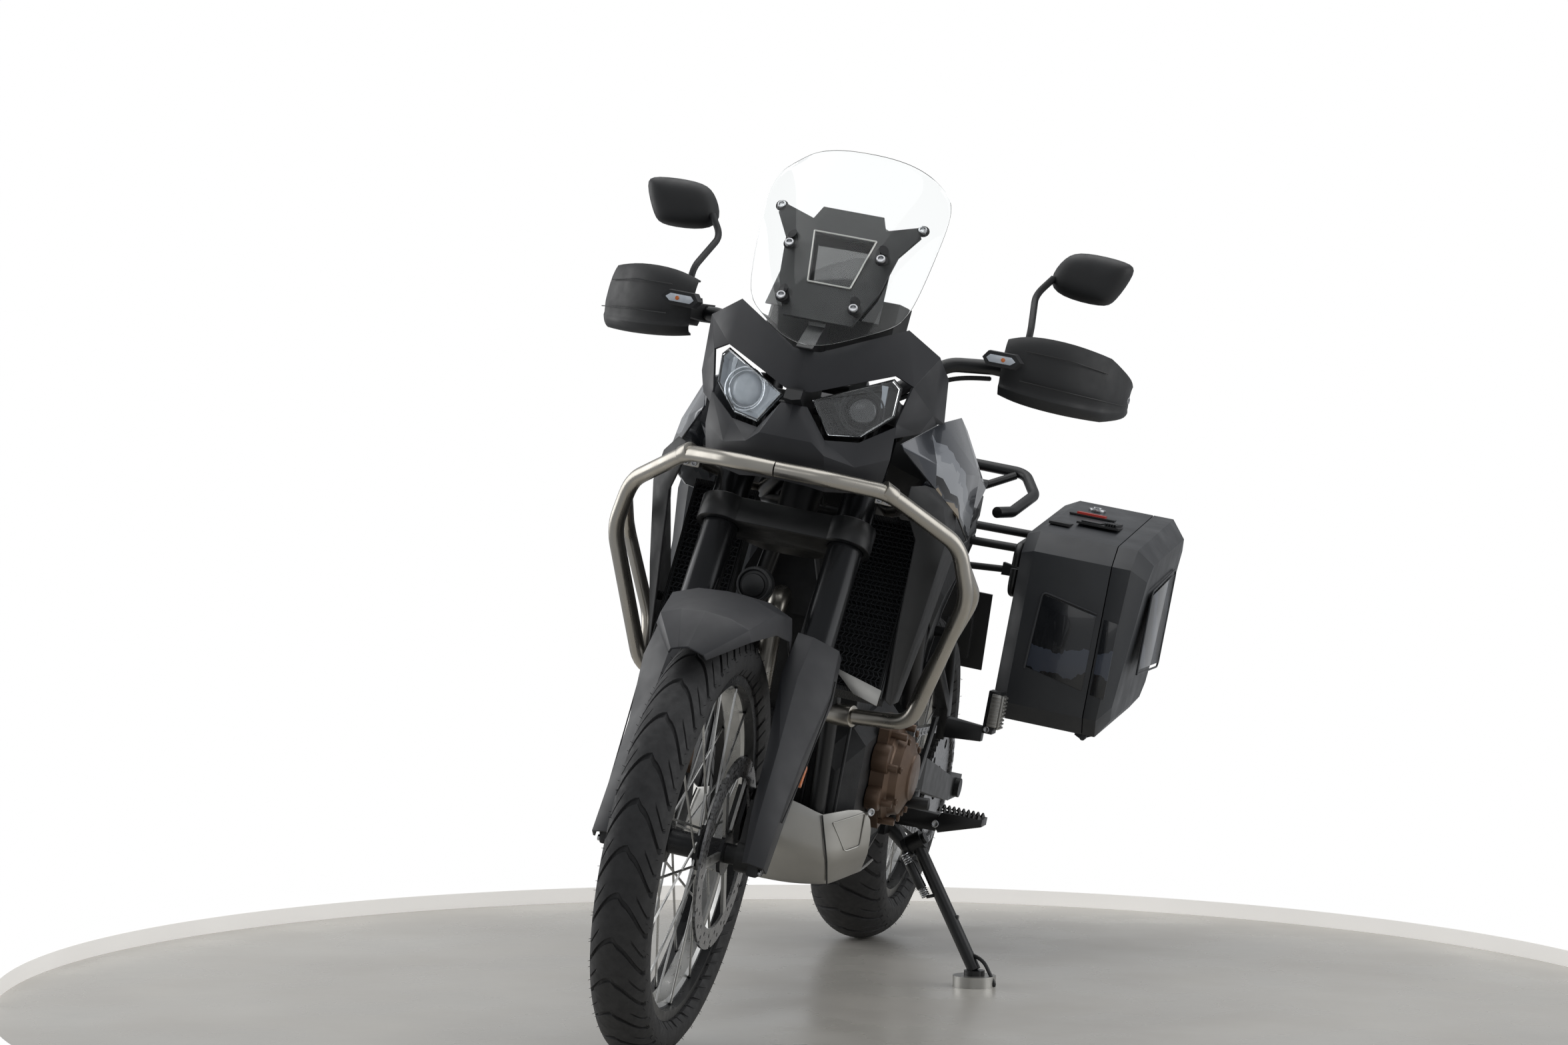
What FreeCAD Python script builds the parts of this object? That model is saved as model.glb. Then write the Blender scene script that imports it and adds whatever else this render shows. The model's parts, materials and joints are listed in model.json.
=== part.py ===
import FreeCAD, Part
import Sketcher
import math
import os

# Adventure motorcycle, leaning on its side stand. Millimetres.
# Bike frame: x to the bike's left, y rearwards, z up, origin on the ground under the front axle,
# with the bike upright. Every piece is drawn there or in the fork frame, then leant as a whole.

os.makedirs("parts", exist_ok=True)
doc = FreeCAD.newDocument("AdventureMotorcycle")
sheet = doc.addObject("Spreadsheet::Sheet", "Sizes")

# Driving dimensions: alias, value in millimetres or degrees, what it is
SIZES = (
    ("wheelbase", 1575, "front axle to rear axle"),
    ("rake_angle", 27.5, "steering axis from the vertical, degrees"),
    ("fork_offset", 60, "axle ahead of the steering axis"),
    ("lean_angle", 10.4, "lean onto the side stand, degrees"),
    ("front_tyre_radius", 347.5, "outer radius, 21 inch wheel"),
    ("front_tyre_width", 92, "section width"),
    ("front_crown_radius", 46, "tread crown"),
    ("front_bead_radius", 267, "bead seat"),
    ("front_rim_width", 56, "between the flanges"),
    ("rear_tyre_radius", 333, "outer radius, 18 inch wheel"),
    ("rear_tyre_width", 150, "section width"),
    ("rear_crown_radius", 82, "tread crown"),
    ("rear_bead_radius", 229, "bead seat"),
    ("rear_rim_width", 102, "between the flanges"),
    ("rim_flange_height", 12, "flange above the bead seat"),
    ("rim_wall", 4.5, "rim wall"),
    ("rim_well_depth", 9, "well below the bead seat"),
    ("spoke_count", 32, "spokes per wheel"),
    ("spoke_radius", 2.1, "wire radius"),
    ("seat_gap", 0.3, "gap between pieces that seat"),
    ("bearing_gap", 0.05, "running clearance"),
    ("front_disc_radius", 155, "front brake disc"),
    ("front_disc_band", 33, "width of the friction band"),
    ("front_disc_spread", 68, "disc centre from the wheel's plane"),
    ("rear_disc_radius", 128, "rear brake disc"),
    ("rear_disc_band", 34, "width of the friction band"),
    ("rear_disc_spread", 92, "disc centre from the wheel's plane"),
    ("disc_thickness", 4.5, "brake disc"),
    ("front_axle_radius", 11, "front axle"),
    ("rear_axle_radius", 12.5, "rear axle"),
    ("fork_spread", 107, "fork tube from the centre plane"),
    ("clamp_offset", 35, "tubes ahead of the steering axis"),
    ("outer_tube_radius", 30, "upper fork tube"),
    ("inner_tube_radius", 22.5, "lower fork tube"),
    ("tube_bottom", 290, "lower end of the upper tube, along the axis from the axle's foot"),
    ("tube_top", 835, "upper end of the upper tube"),
    ("lower_clamp_at", 562, "underside of the lower clamp"),
    ("lower_clamp_height", 44, "lower clamp"),
    ("upper_clamp_at", 786, "underside of the upper clamp"),
    ("upper_clamp_height", 30, "upper clamp"),
    ("stem_radius", 17, "steering stem"),
    ("head_tube_radius", 34, "head tube"),
    ("bar_radius", 12.5, "handlebar tube"),
    ("bar_reach", 442, "bar end from the centre plane"),
    ("grip_radius", 17.5, "hand grip"),
    ("crash_bar_radius", 13.5, "crash bar tube"),
    ("crash_bar_reach", 308, "widest point of the crash bars"),
    ("panel_wall", 3.5, "fairing panel"),
    ("screen_wall", 4, "windscreen"),
    ("swingarm_pivot_y", 990, "swingarm pivot behind the front axle"),
    ("swingarm_pivot_z", 420, "swingarm pivot above the ground"),
    ("chain_plane", 98, "chain line from the centre plane"),
    ("chain_width", 16, "chain over its pins"),
    ("chain_height", 15, "chain link height"),
    ("sprocket_gap", 0.5, "chain from the sprocket's tips"),
    ("rear_sprocket_radius", 106, "tip radius"),
    ("front_sprocket_radius", 42, "tip radius"),
    ("front_sprocket_y", 890, "drive sprocket behind the front axle"),
    ("front_sprocket_z", 424, "drive sprocket above the ground"),
    ("hinge_pin_radius", 2.5, "pin of a pannier lid's hinge"),
    ("hinge_barrel_radius", 6, "barrel of a pannier lid's hinge"),
    ("hinge_drop", 8, "hinge line under the pannier's edge"),
    ("stand_pin_radius", 6, "side stand's pivot pin"),
    ("stand_knuckle_radius", 17, "side stand's eye"),
    ("seat_height", 868, "rider's seat above the ground"),
    ("pannier_wall", 4, "pannier wall"),
    ("pannier_length", 480, "along the bike"),
    ("pannier_height", 360, "at its front edge"),
    ("pannier_front_y", 1300, "front face"),
    ("pannier_base_z", 512, "underside"),
    ("pannier_split", 400, "lid's parting line from the centre plane"),
    ("lid_depth", 70, "lid's depth"),
    ("left_box_depth", 176, "left box to the parting line"),
    ("right_box_depth", 134, "right box to the parting line, clear of the silencer"),
    ("silencer_radius", 52, "silencer"),
    ("rack_top", 936, "top of the rack's deck above the ground"),
    ("rack_middle_y", 1620, "middle of the rack's bolt holes behind the front axle"),
    ("rack_bolt_circle", 141.42, "four bolt holes at the corners of a 100 mm square"),
    ("rack_bolt_hole", 3.3, "clearance hole for a 6 mm bolt, radius"),
    ("plate_reach", 297, "top edge of the plate holder behind the rear axle"),
    ("puck_radius", 39, "plate under the stand foot"),
    ("puck_height", 20, "plate under the stand foot"),
    ("steering_lock", 36, "steering each way, degrees"),
)
for row, (alias, value, note) in enumerate(SIZES, start=1):
    sheet.set("A%d" % row, note)
    sheet.set("B%d" % row, str(value))
    sheet.setAlias("B%d" % row, alias)
doc.recompute()


class Cells:
    """The sheet's values by name."""

    def __getattr__(self, alias):
        return float(sheet.get(alias))


S = Cells()
V = FreeCAD.Vector
ORIGIN = V(0, 0, 0)
X, Y, Z = V(1, 0, 0), V(0, 1, 0), V(0, 0, 1)


# Shape helpers

def mirrored(shape):
    return shape.mirror(ORIGIN, X)


def pair(shape):
    """The left piece and its mirror image on the right."""
    return Part.makeCompound([shape, mirrored(shape)])


def fused(*shapes):
    return shapes[0].multiFuse(list(shapes[1:])).removeSplitter()


def vectors(points):
    return [V(*p) for p in points]


def closed(points):
    return Part.makePolygon(list(points) + [points[0]])


def prism(points, along):
    """A flat outline pushed along a vector."""
    return Part.Face(closed(vectors(points))).extrude(V(*along))


def box(low, high):
    low, high = V(*low), V(*high)
    size = high - low
    return Part.makeBox(size.x, size.y, size.z, low)


def rod(start, end, radius):
    start, end = V(*start), V(*end)
    return Part.makeCylinder(radius, (end - start).Length, start, end - start)


def wire_rod(start, end, radius, sides=6):
    """A round wire with few sides."""
    start, end = V(*start), V(*end)
    run = (end - start).normalize()
    across = run.cross(Z if abs(run.z) < 0.9 else X).normalize()
    other = run.cross(across)
    ring = []
    for k in range(sides):
        turn = 2 * math.pi * k / sides
        ring.append(start + across * radius * math.cos(turn) + other * radius * math.sin(turn))
    return Part.Face(closed(ring)).extrude(end - start)


def bent_path(points, bend):
    """Straight runs joined by tangent arcs of the bend radius."""
    points = vectors(points)
    edges = []
    start = points[0]
    for before, corner, after in zip(points, points[1:], points[2:]):
        back = before - corner
        ahead = after - corner
        room = 0.45 * min(back.Length, ahead.Length)
        back.normalize()
        ahead.normalize()
        half = back.getAngle(ahead) / 2
        cut = min(bend / math.tan(half), room)
        radius = cut * math.tan(half)
        bisector = (back + ahead).normalize()
        middle = corner + bisector * (cut / math.cos(half) - radius)
        edges.append(Part.LineSegment(start, corner + back * cut).toShape())
        edges.append(Part.Arc(corner + back * cut, middle, corner + ahead * cut).toShape())
        start = corner + ahead * cut
    edges.append(Part.LineSegment(start, points[-1]).toShape())
    return Part.Wire(edges)


def bent_tube(points, radius, bend):
    start, following = V(*points[0]), V(*points[1])
    if len(points) == 2:
        return rod(points[0], points[1], radius)
    circle = Part.Wire(Part.makeCircle(radius, start, following - start))
    return bent_path(points, bend).makePipeShell([circle], True, False)


def solid_of(faces):
    shell = Part.makeShell(faces)
    shell.sewShape()
    solid = Part.makeSolid(shell)
    if solid.Volume < 0:
        solid.reverse()
    return solid.removeSplitter()


def triangle(a, b, c):
    if (b - a).cross(c - a).Length < 1e-6:
        return None
    return Part.Face(closed([a, b, c]))


def patch(a, b, c, d):
    """Two triangles over a four-cornered cell."""
    return [face for face in (triangle(a, b, c), triangle(a, c, d)) if face]


def loft(loops):
    """A closed solid through rings of points, its ends closed by fans."""
    loops = [vectors(loop) for loop in loops]
    faces = []
    for ring, following in zip(loops, loops[1:]):
        for k in range(len(ring)):
            after = (k + 1) % len(ring)
            faces += patch(ring[k], ring[after], following[after], following[k])
    for ring in (loops[0], loops[-1]):
        centre = V(0, 0, 0)
        for point in ring:
            centre += point
        centre *= 1.0 / len(ring)
        for k in range(len(ring)):
            face = triangle(centre, ring[k], ring[(k + 1) % len(ring)])
            if face:
                faces.append(face)
    return solid_of(faces)


def panel(rows, wall, outward=1):
    """A sheet of even wall under a grid of points on its outer face."""
    grid = [vectors(row) for row in rows]
    high, wide = len(grid), len(grid[0])

    def lean_of(i, j):
        up = grid[min(i + 1, high - 1)][j] - grid[max(i - 1, 0)][j]
        side = grid[i][min(j + 1, wide - 1)] - grid[i][max(j - 1, 0)]
        return up.cross(side).normalize() * outward

    inner = [[grid[i][j] - lean_of(i, j) * wall for j in range(wide)] for i in range(high)]
    faces = []
    for skin in (grid, inner):
        for i in range(high - 1):
            for j in range(wide - 1):
                faces += patch(skin[i][j], skin[i][j + 1], skin[i + 1][j + 1], skin[i + 1][j])
    for i in (0, high - 1):
        for j in range(wide - 1):
            faces += patch(grid[i][j], grid[i][j + 1], inner[i][j + 1], inner[i][j])
    for j in (0, wide - 1):
        for i in range(high - 1):
            faces += patch(grid[i][j], grid[i + 1][j], inner[i + 1][j], inner[i][j])
    return solid_of(faces)


def behind(shape, rows, wall, outward=1):
    """What is left of a shape on the inner side of a panel, a seat's gap away from it."""
    return shape.cut([panel(rows, wall + S.seat_gap, outward), panel(rows, -60, outward)])


def both_sides(row):
    """A half row from the centre plane outwards, completed by symmetry."""
    left = [tuple(p) for p in row]
    right = [(-x, y, z) for x, y, z in reversed(left) if x]
    return right + left


def turned_about_x(face):
    """A face beside the X axis swept right round it, facing outwards."""
    solid = Part.makeSolid(face.revolve(ORIGIN, X, 360).Shells[0])
    if solid.Volume < 0:
        solid.reverse()
    return solid


def spun(profile):
    """A profile of (across, radius) points turned about the X axis."""
    return turned_about_x(Part.Face(closed([V(across, 0, radius) for across, radius in profile])))


# Frames of reference

def turned(axis, degrees, base=ORIGIN):
    return FreeCAD.Placement(base, FreeCAD.Rotation(axis, degrees))


RAKE = math.radians(S.rake_angle)
AXLE = V(0, 0, S.front_tyre_radius)
FORWARD = V(0, -math.cos(RAKE), math.sin(RAKE))
AXIS_FOOT = AXLE - FORWARD * S.fork_offset
BIKE = FreeCAD.Placement()
FORK = turned(X, -S.rake_angle, AXIS_FOOT)
REAR_AXLE = V(0, S.wheelbase, S.rear_tyre_radius)
REAR_WHEEL = turned(X, 0, REAR_AXLE)
FRONT_WHEEL = FORK.multiply(turned(X, 0, V(0, -S.fork_offset, 0)))


def from_fork(x, y, along):
    """A point of the fork frame in the bike frame."""
    return tuple(FORK.multVec(V(x, y, along)))


# The stance: both tyres and the plate stand on the floor with the bike leant to its left

def stance():
    lean = math.radians(S.lean_angle)
    drop = 1 - math.cos(lean)
    nose_up = math.asin((S.rear_crown_radius - S.front_crown_radius) * drop / (S.wheelbase * math.cos(lean)))
    lift = S.front_crown_radius * drop
    pitched = turned(X, math.degrees(nose_up))
    leant = turned(Y, S.lean_angle, V(0, 0, lift))
    return leant.multiply(pitched)


STANCE = stance()


# Wheels: across the wheel is x, the axle at the origin

def tyre(width, radius, crown, bead, rim_width):
    """A ring with a round crown and straight shoulders, walls and beads."""
    tall = radius - bead
    half = width / 2
    bead_half = rim_width / 2
    # The crown's corners lie on its arc, one of them where the leant tyre meets the floor
    crown_turns = [math.radians(degrees) for degrees in (S.lean_angle, 30)]
    side = [(crown * math.sin(turn), radius - crown * (1 - math.cos(turn))) for turn in crown_turns]
    # Share of the half width, share of the height above the bead
    wall = ((0.96, 0.66), (1.0, 0.40))
    side += [(half * w, bead + tall * t) for w, t in wall]
    side += [(bead_half - S.seat_gap, bead + S.rim_flange_height + S.seat_gap),
             (bead_half - S.seat_gap, bead + S.seat_gap)]
    other = [(-across, high) for across, high in reversed(side)]
    return spun([(0, radius)] + side + other)


def rim(bead, rim_width):
    """A drop-centre rim with flanges."""
    inside = rim_width / 2
    outside = inside + S.rim_wall
    flange = bead + S.rim_flange_height
    well = bead - S.rim_well_depth
    under = bead - S.rim_wall
    side = ((outside, flange), (inside, flange), (inside, bead), (inside * 0.62, bead),
            (inside * 0.42, well))
    below = ((inside * 0.46, well - S.rim_wall), (inside * 0.68, under), (outside, under))
    left = [(-a, r) for a, r in side]
    left_below = [(-a, r) for a, r in below]
    return spun(left + list(reversed(side)) + list(reversed(below)) + left_below)


def wire_wheel(bead, rim_width, hub_half, hub_radius, flange_at, flange_radius, bore):
    """Rim, hub and crossed spokes as one piece."""
    hub = spun([(-hub_half, bore), (hub_half, bore), (hub_half, hub_radius), (flange_at + 4, hub_radius),
                (flange_at + 4, flange_radius), (flange_at - 4, flange_radius),
                (flange_at - 8, hub_radius), (8 - flange_at, hub_radius), (4 - flange_at, flange_radius),
                (-flange_at - 4, flange_radius), (-flange_at - 4, hub_radius), (-hub_half, hub_radius)])
    spokes = []
    count = int(S.spoke_count)
    rim_end = bead - S.rim_wall + 1
    for k in range(count):
        side = 1 if k % 2 else -1
        lead = math.radians(58) * (1 if (k // 2) % 2 else -1)
        turn = 2 * math.pi * k / count
        inner, outer = flange_radius - 5, rim_end
        start = (side * flange_at, inner * math.cos(turn + lead), inner * math.sin(turn + lead))
        end = (side * rim_width * 0.36, outer * math.cos(turn), outer * math.sin(turn))
        spokes.append(wire_rod(start, end, S.spoke_radius))
    return rim(bead, rim_width).multiFuse([hub] + spokes)


def disc_carrier(disc_at, band_inside, hub_radius, arms=6):
    """Spider that carries a brake disc's band, at one side of the hub."""
    ring = rod((disc_at - 3, 0, 0), (disc_at + 3, 0, 0), hub_radius + 16)
    ring = ring.cut(rod((disc_at - 4, 0, 0), (disc_at + 4, 0, 0), hub_radius))
    shapes = []
    for k in range(arms):
        arm = box((disc_at - 2.5, -7, hub_radius + 8), (disc_at + 2.5, 7, band_inside - S.seat_gap))
        shapes.append(arm.rotate(ORIGIN, X, 360.0 * k / arms))
    return ring.multiFuse(shapes)


def front_wire_wheel():
    spread = S.front_disc_spread
    wheel = wire_wheel(S.front_bead_radius, S.front_rim_width, spread + 3, 20, 29, 36,
                       S.front_axle_radius + S.bearing_gap)
    inside = S.front_disc_radius - S.front_disc_band
    left = disc_carrier(spread, inside, 19.5)
    return wheel.multiFuse([left, mirrored(left)])


def rear_wire_wheel():
    wheel = wire_wheel(S.rear_bead_radius, S.rear_rim_width, S.rear_disc_spread - 8, 30, 42, 58,
                       S.rear_axle_radius + S.bearing_gap)
    inside = S.rear_disc_radius - S.rear_disc_band
    carrier = mirrored(disc_carrier(S.rear_disc_spread, inside, 29.5))
    boss = rod((-S.rear_disc_spread + 9, 0, 0), (-S.rear_disc_spread - 3, 0, 0), 30)
    boss = boss.cut(rod((0, 0, 0), (-200, 0, 0), S.rear_axle_radius + S.bearing_gap))
    drum_end = S.chain_plane - 5
    drum = rod((40, 0, 0), (drum_end, 0, 0), 62)
    drum = drum.cut(rod((0, 0, 0), (200, 0, 0), S.rear_axle_radius + S.bearing_gap))
    return wheel.multiFuse([carrier, boss, drum])


def disc_body(label, radius, band, lobes, holes):
    """Brake disc band with a waved rim and rows of drilled holes, flat on its sketch plane."""
    body = doc.addObject("PartDesign::Body", label)
    plane = next(f for f in body.Origin.OriginFeatures if f.Role == "XY_Plane")
    ring = body.newObject("Sketcher::SketchObject", label + "_ring")
    ring.AttachmentSupport = (plane, "")
    ring.MapMode = "FlatFace"
    outer = getattr(S, radius)
    inner = outer - getattr(S, band)
    for name, circle_radius in (("outer", outer), ("inner", inner)):
        index = ring.addGeometry(Part.Circle(ORIGIN, Z, circle_radius))
        rule = ring.addConstraint(Sketcher.Constraint("Radius", index, circle_radius))
        ring.renameConstraint(rule, name)
        ring.addConstraint(Sketcher.Constraint("Coincident", index, 3, -1, 1))
    ring.setExpression("Constraints.outer", "Sizes.%s" % radius)
    ring.setExpression("Constraints.inner", "Sizes.%s - Sizes.%s" % (radius, band))
    pad = body.newObject("PartDesign::Pad", label + "_pad")
    pad.Profile = ring
    pad.Midplane = True
    pad.setExpression("Length", "Sizes.disc_thickness")
    doc.recompute()
    # Share of the band's width outwards from its inner edge, hole radius, copies
    for name, share, hole_radius, copies, offset in (
            ("notch", 1.03, 6.0, lobes, 0.0), ("hole", 0.34, 3.4, holes, 0.4), ("vent", 0.68, 3.4, holes, 0.0)):
        sketch = body.newObject("Sketcher::SketchObject", label + "_" + name)
        sketch.AttachmentSupport = (plane, "")
        sketch.MapMode = "FlatFace"
        place = inner + (outer - inner) * share
        centre = V(place * math.cos(offset), place * math.sin(offset), 0)
        sketch.addGeometry(Part.Circle(centre, Z, hole_radius))
        pocket = body.newObject("PartDesign::Pocket", label + "_" + name + "_cut")
        pocket.Profile = sketch
        pocket.Midplane = True
        pocket.Type = 1
        doc.recompute()
        pattern = body.newObject("PartDesign::PolarPattern", label + "_" + name + "_ring")
        pattern.Originals = [pocket]
        pattern.Axis = (ring, ["N_Axis"])
        pattern.Angle = 360
        pattern.Occurrences = copies
        body.Tip = pattern
        doc.recompute()
    return body


def sprocket(tip, teeth, thick, bore, holes=5):
    """Toothed wheel about the X axis."""
    root = tip - 7
    outline = []
    for k in range(teeth):
        for share, radius in ((0.0, root), (0.22, tip), (0.46, tip), (0.68, root)):
            turn = 2 * math.pi * (k + share) / teeth
            outline.append((-thick / 2, radius * math.cos(turn), radius * math.sin(turn)))
    plate = prism(outline, (thick, 0, 0))
    cuts = [rod((-thick, 0, 0), (thick, 0, 0), bore)]
    for k in range(holes):
        turn = 2 * math.pi * k / holes
        middle = (bore + root) / 2
        place = (middle * math.cos(turn), middle * math.sin(turn))
        cuts.append(rod((-thick, *place), (thick, *place), (root - bore) * 0.28))
    return plate.cut(cuts)


def rear_sprocket():
    plate = sprocket(S.rear_sprocket_radius, 42, 6, 63)
    plate = plate.fuse(rod((-4.7, 0, 0), (3, 0, 0), 64).cut(rod((-6, 0, 0), (4, 0, 0), 34)))
    plate.translate(V(S.chain_plane, 0, 0))
    return plate


# Fork and steering, in the fork frame: x left, y square to the axis and rearwards, z up the axis

def fork_tubes():
    tube = rod((S.fork_spread, -S.clamp_offset, S.tube_bottom),
               (S.fork_spread, -S.clamp_offset, S.tube_top), S.outer_tube_radius)
    cap = rod((S.fork_spread, -S.clamp_offset, S.tube_top),
              (S.fork_spread, -S.clamp_offset, S.tube_top + 8), 20)
    return pair(tube.fuse(cap))


def fork_legs():
    """Lower tubes, axle lugs and the brake's lugs."""
    y = -S.fork_offset
    bore = rod((60, y, 0), (200, y, 0), S.front_axle_radius + S.bearing_gap)
    tube = rod((S.fork_spread, -S.clamp_offset, 62),
               (S.fork_spread, -S.clamp_offset, S.tube_bottom - S.seat_gap), S.inner_tube_radius)
    boss = rod((S.fork_spread - 17, y, 0), (S.fork_spread + 19, y, 0), 25)
    x0, x1 = S.fork_spread - 17, S.fork_spread + 17
    # Height up the axis, widening, front and rear of the lug
    lug = loft([[(x0 - wide, front, up), (x1 + wide, front, up), (x1 + wide, rear, up), (x0 - wide, rear, up)]
                for up, wide, front, rear in ((0, 0, y - 22, y + 24), (22, 0, y - 18, y + 30),
                                              (66, 6, y - 1, y + 51), (96, 6, y - 1, y + 51))])
    ear = prism([(S.fork_spread - 24, -12, 74), (S.fork_spread - 24, 2, 88),
                 (S.fork_spread - 24, 2, 150), (S.fork_spread - 24, -12, 150)], (30, 0, 0))
    leg = tube.multiFuse([boss, lug, ear]).cut(bore)
    return pair(leg)


def front_axle():
    half = S.fork_spread + 19
    hub_end = S.front_disc_spread + 3
    y = -S.fork_offset
    shapes = [rod((-half - 2, y, 0), (half + 2, y, 0), S.front_axle_radius)]
    for side in (1, -1):
        shapes.append(rod((side * (half + S.seat_gap), y, 0), (side * (half + 9), y, 0), 17))
        shapes.append(rod((side * (hub_end + S.seat_gap), y, 0),
                          (side * (S.fork_spread - 17 - S.seat_gap), y, 0), 16))
    return shapes[0].multiFuse(shapes[1:])


def front_calipers():
    """Four-piston calipers over the discs, bolted behind the legs."""
    disc = S.front_disc_spread
    slot = S.disc_thickness / 2 + 2
    x_in, x_out = disc - 26, disc + 26
    front = 2 + S.seat_gap
    outline = [(x_in, front, 60), (x_in, 40, 36), (x_in, 76, 56), (x_in, 76, 118), (x_in, 44, 150),
               (x_in, front, 140)]
    body = prism(outline, (x_out - x_in, 0, 0))
    room = rod((disc - slot, -S.fork_offset, 0), (disc + slot, -S.fork_offset, 0), S.front_disc_radius + 3)
    window = rod((disc - 40, -S.fork_offset, 0), (disc + 40, -S.fork_offset, 0), 96)
    return pair(body.cut([room, window]))


def clamp_plate(low, height, ear):
    """Clamp across both fork tubes, reaching back to the stem."""
    y = -S.clamp_offset
    spread = S.fork_spread
    shapes = [rod((side * spread, y, low), (side * spread, y, low + height), ear) for side in (1, -1)]
    outline = [(-spread, y - ear * 0.72, low), (spread, y - ear * 0.72, low), (spread, y + ear * 0.6, low),
               (40, 30, low), (-40, 30, low), (-spread, y + ear * 0.6, low)]
    shapes.append(prism(outline, (0, 0, height)))
    plate = shapes[0].multiFuse(shapes[1:])
    for side in (1, -1):
        plate = plate.cut(rod((side * spread, y, low - 5), (side * spread, y, low + height + 5),
                              S.outer_tube_radius + S.seat_gap))
    return plate


def triple_clamps():
    low_top = S.lower_clamp_at + S.lower_clamp_height
    lower = clamp_plate(S.lower_clamp_at, S.lower_clamp_height, 42)
    upper = clamp_plate(S.upper_clamp_at, S.upper_clamp_height, 39)
    stem = rod((0, 0, low_top - 20), (0, 0, S.upper_clamp_at + 20), S.stem_radius)
    nut = rod((0, 0, S.upper_clamp_at + S.upper_clamp_height - 1),
              (0, 0, S.upper_clamp_at + S.upper_clamp_height + 8), 16)
    return lower.multiFuse([upper, stem, nut])


# Left half of the handlebar, in the bike frame: centre, first bend, rise, grip, end
BAR_RISE = 82
BAR_CENTRE = from_fork(0, 4, S.upper_clamp_at + S.upper_clamp_height + 54)
GRIP_START = (246, 538, BAR_CENTRE[2] + BAR_RISE)
BAR_END = (S.bar_reach, 640, BAR_CENTRE[2] + BAR_RISE - 10)


def bar_half():
    x, y, z = BAR_CENTRE
    return [(62, y, z), (104, y + 14, z + 16), (178, y + 46, z + BAR_RISE - 8), GRIP_START, BAR_END]


def handlebar():
    half = bar_half()
    path = [(-x, y, z) for x, y, z in reversed(half)] + half
    tube = bent_tube(path, S.bar_radius, 60)
    shapes = []
    top = S.upper_clamp_at + S.upper_clamp_height
    for side in (1, -1):
        riser = box((side * 42 - 13, -14, top + S.seat_gap), (side * 42 + 13, 22, top + 72))
        riser.Placement = FORK.multiply(riser.Placement)
        shapes.append(riser)
    return tube.multiFuse(shapes)


def along_grip(share):
    """A point on the grip's centre line, share of the way to the bar's end."""
    start, end = V(*GRIP_START), V(*BAR_END)
    return start + (end - start) * share


BAR_RUN = (V(*BAR_END) - V(*GRIP_START)).normalize()
BAR_AHEAD = V(BAR_RUN.y, -BAR_RUN.x, 0).normalize()


def by_grip(share, ahead, up):
    """A point beside the grip's centre line."""
    return along_grip(share) + BAR_AHEAD * ahead + Z * up


def hand_grips():
    grip = rod(along_grip(0.42), along_grip(0.97), S.grip_radius)
    core = rod(along_grip(0.3), along_grip(1.2), S.bar_radius + S.seat_gap)
    return pair(grip.cut(core))


def hand_controls():
    """Switch housing, lever perch and lever on each side."""
    core = rod(along_grip(0.05), along_grip(0.6), S.bar_radius + S.seat_gap)
    # Sections as ahead and up from the bar's centre line
    housing = loft([[tuple(by_grip(share, f, u)) for f, u in
                     ((22, -20), (28, 0), (22, 22), (-14, 25), (-24, 0), (-14, -24))]
                    for share in (0.24, 0.405)])
    perch = loft([[tuple(by_grip(share, f, u)) for f, u in ((-16, -16), (60, -10), (60, 10), (-16, 16))]
                  for share in (0.10, 0.22)])
    # Lever's centre line: share of the grip, how far ahead, half width
    blade = loft([[tuple(by_grip(share, f + w, u)) if k in (1, 2) else tuple(by_grip(share, f - w, u))
                   for k, u in enumerate((-5, -5, 5, 5))]
                  for share, f, w in ((0.2, 50, 9), (0.5, 58, 6), (0.86, 52, 5), (0.92, 50, 8))])
    return pair(housing.multiFuse([perch, blade]).cut(core))


def handguard_rows():
    # Columns from the inner end, over the front, round the tip to the bar end: x, y, then z of the
    # lower edge, the crease and the upper edge
    columns = ((256, 472, 1152, 1185, 1212), (310, 456, 1122, 1176, 1238), (385, 482, 1112, 1168, 1236),
               (452, 556, 1116, 1166, 1216), (472, 622, 1128, 1162, 1188), (462, 668, 1140, 1162, 1180))
    rows = []
    for level, push in ((0, -10), (1, 8), (2, -12)):
        rows.append([(x + push * (0.9 if x > 440 else 0.2), y - push * 0.9, zs[level])
                     for x, y, *zs in columns])
    return rows


def handguards():
    """Deep guards round the levers, carried at the bar ends."""
    end = V(*BAR_END)
    mount = rod(end + BAR_RUN * S.seat_gap, end + BAR_RUN * 26, 11)
    return pair(panel(handguard_rows(), S.panel_wall, 1).fuse(mount))


def mirror_heads():
    """Faceted mirror shells on bent stems."""
    foot = by_grip(0.15, 44, 12.4)
    neck = V(306, 610, 1340)
    bend = (foot.x + 4, foot.y + 6, foot.z + 58)
    stem = bent_tube([tuple(foot), bend, (282, 600, 1306), tuple(neck)], 6, 24)
    base = rod(foot, foot + Z * 26, 10)
    # Outline of the glass: x and height
    outline = ((296, 1336), (318, 1380), (345, 1392), (425, 1388), (437, 1376), (410, 1318),
               (395, 1308), (318, 1312))
    middle = (366, 1350)
    rear = [(x, 636, z) for x, z in outline]
    shell_edge = [(x, 622, z) for x, z in outline]
    front = [(middle[0] + (x - middle[0]) * 0.62, 596, middle[1] + (z - middle[1]) * 0.55)
             for x, z in outline]
    head = loft([rear, shell_edge, front])
    return pair(head.multiFuse([stem, base, rod(neck, (330, 616, 1348), 7)]))


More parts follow.
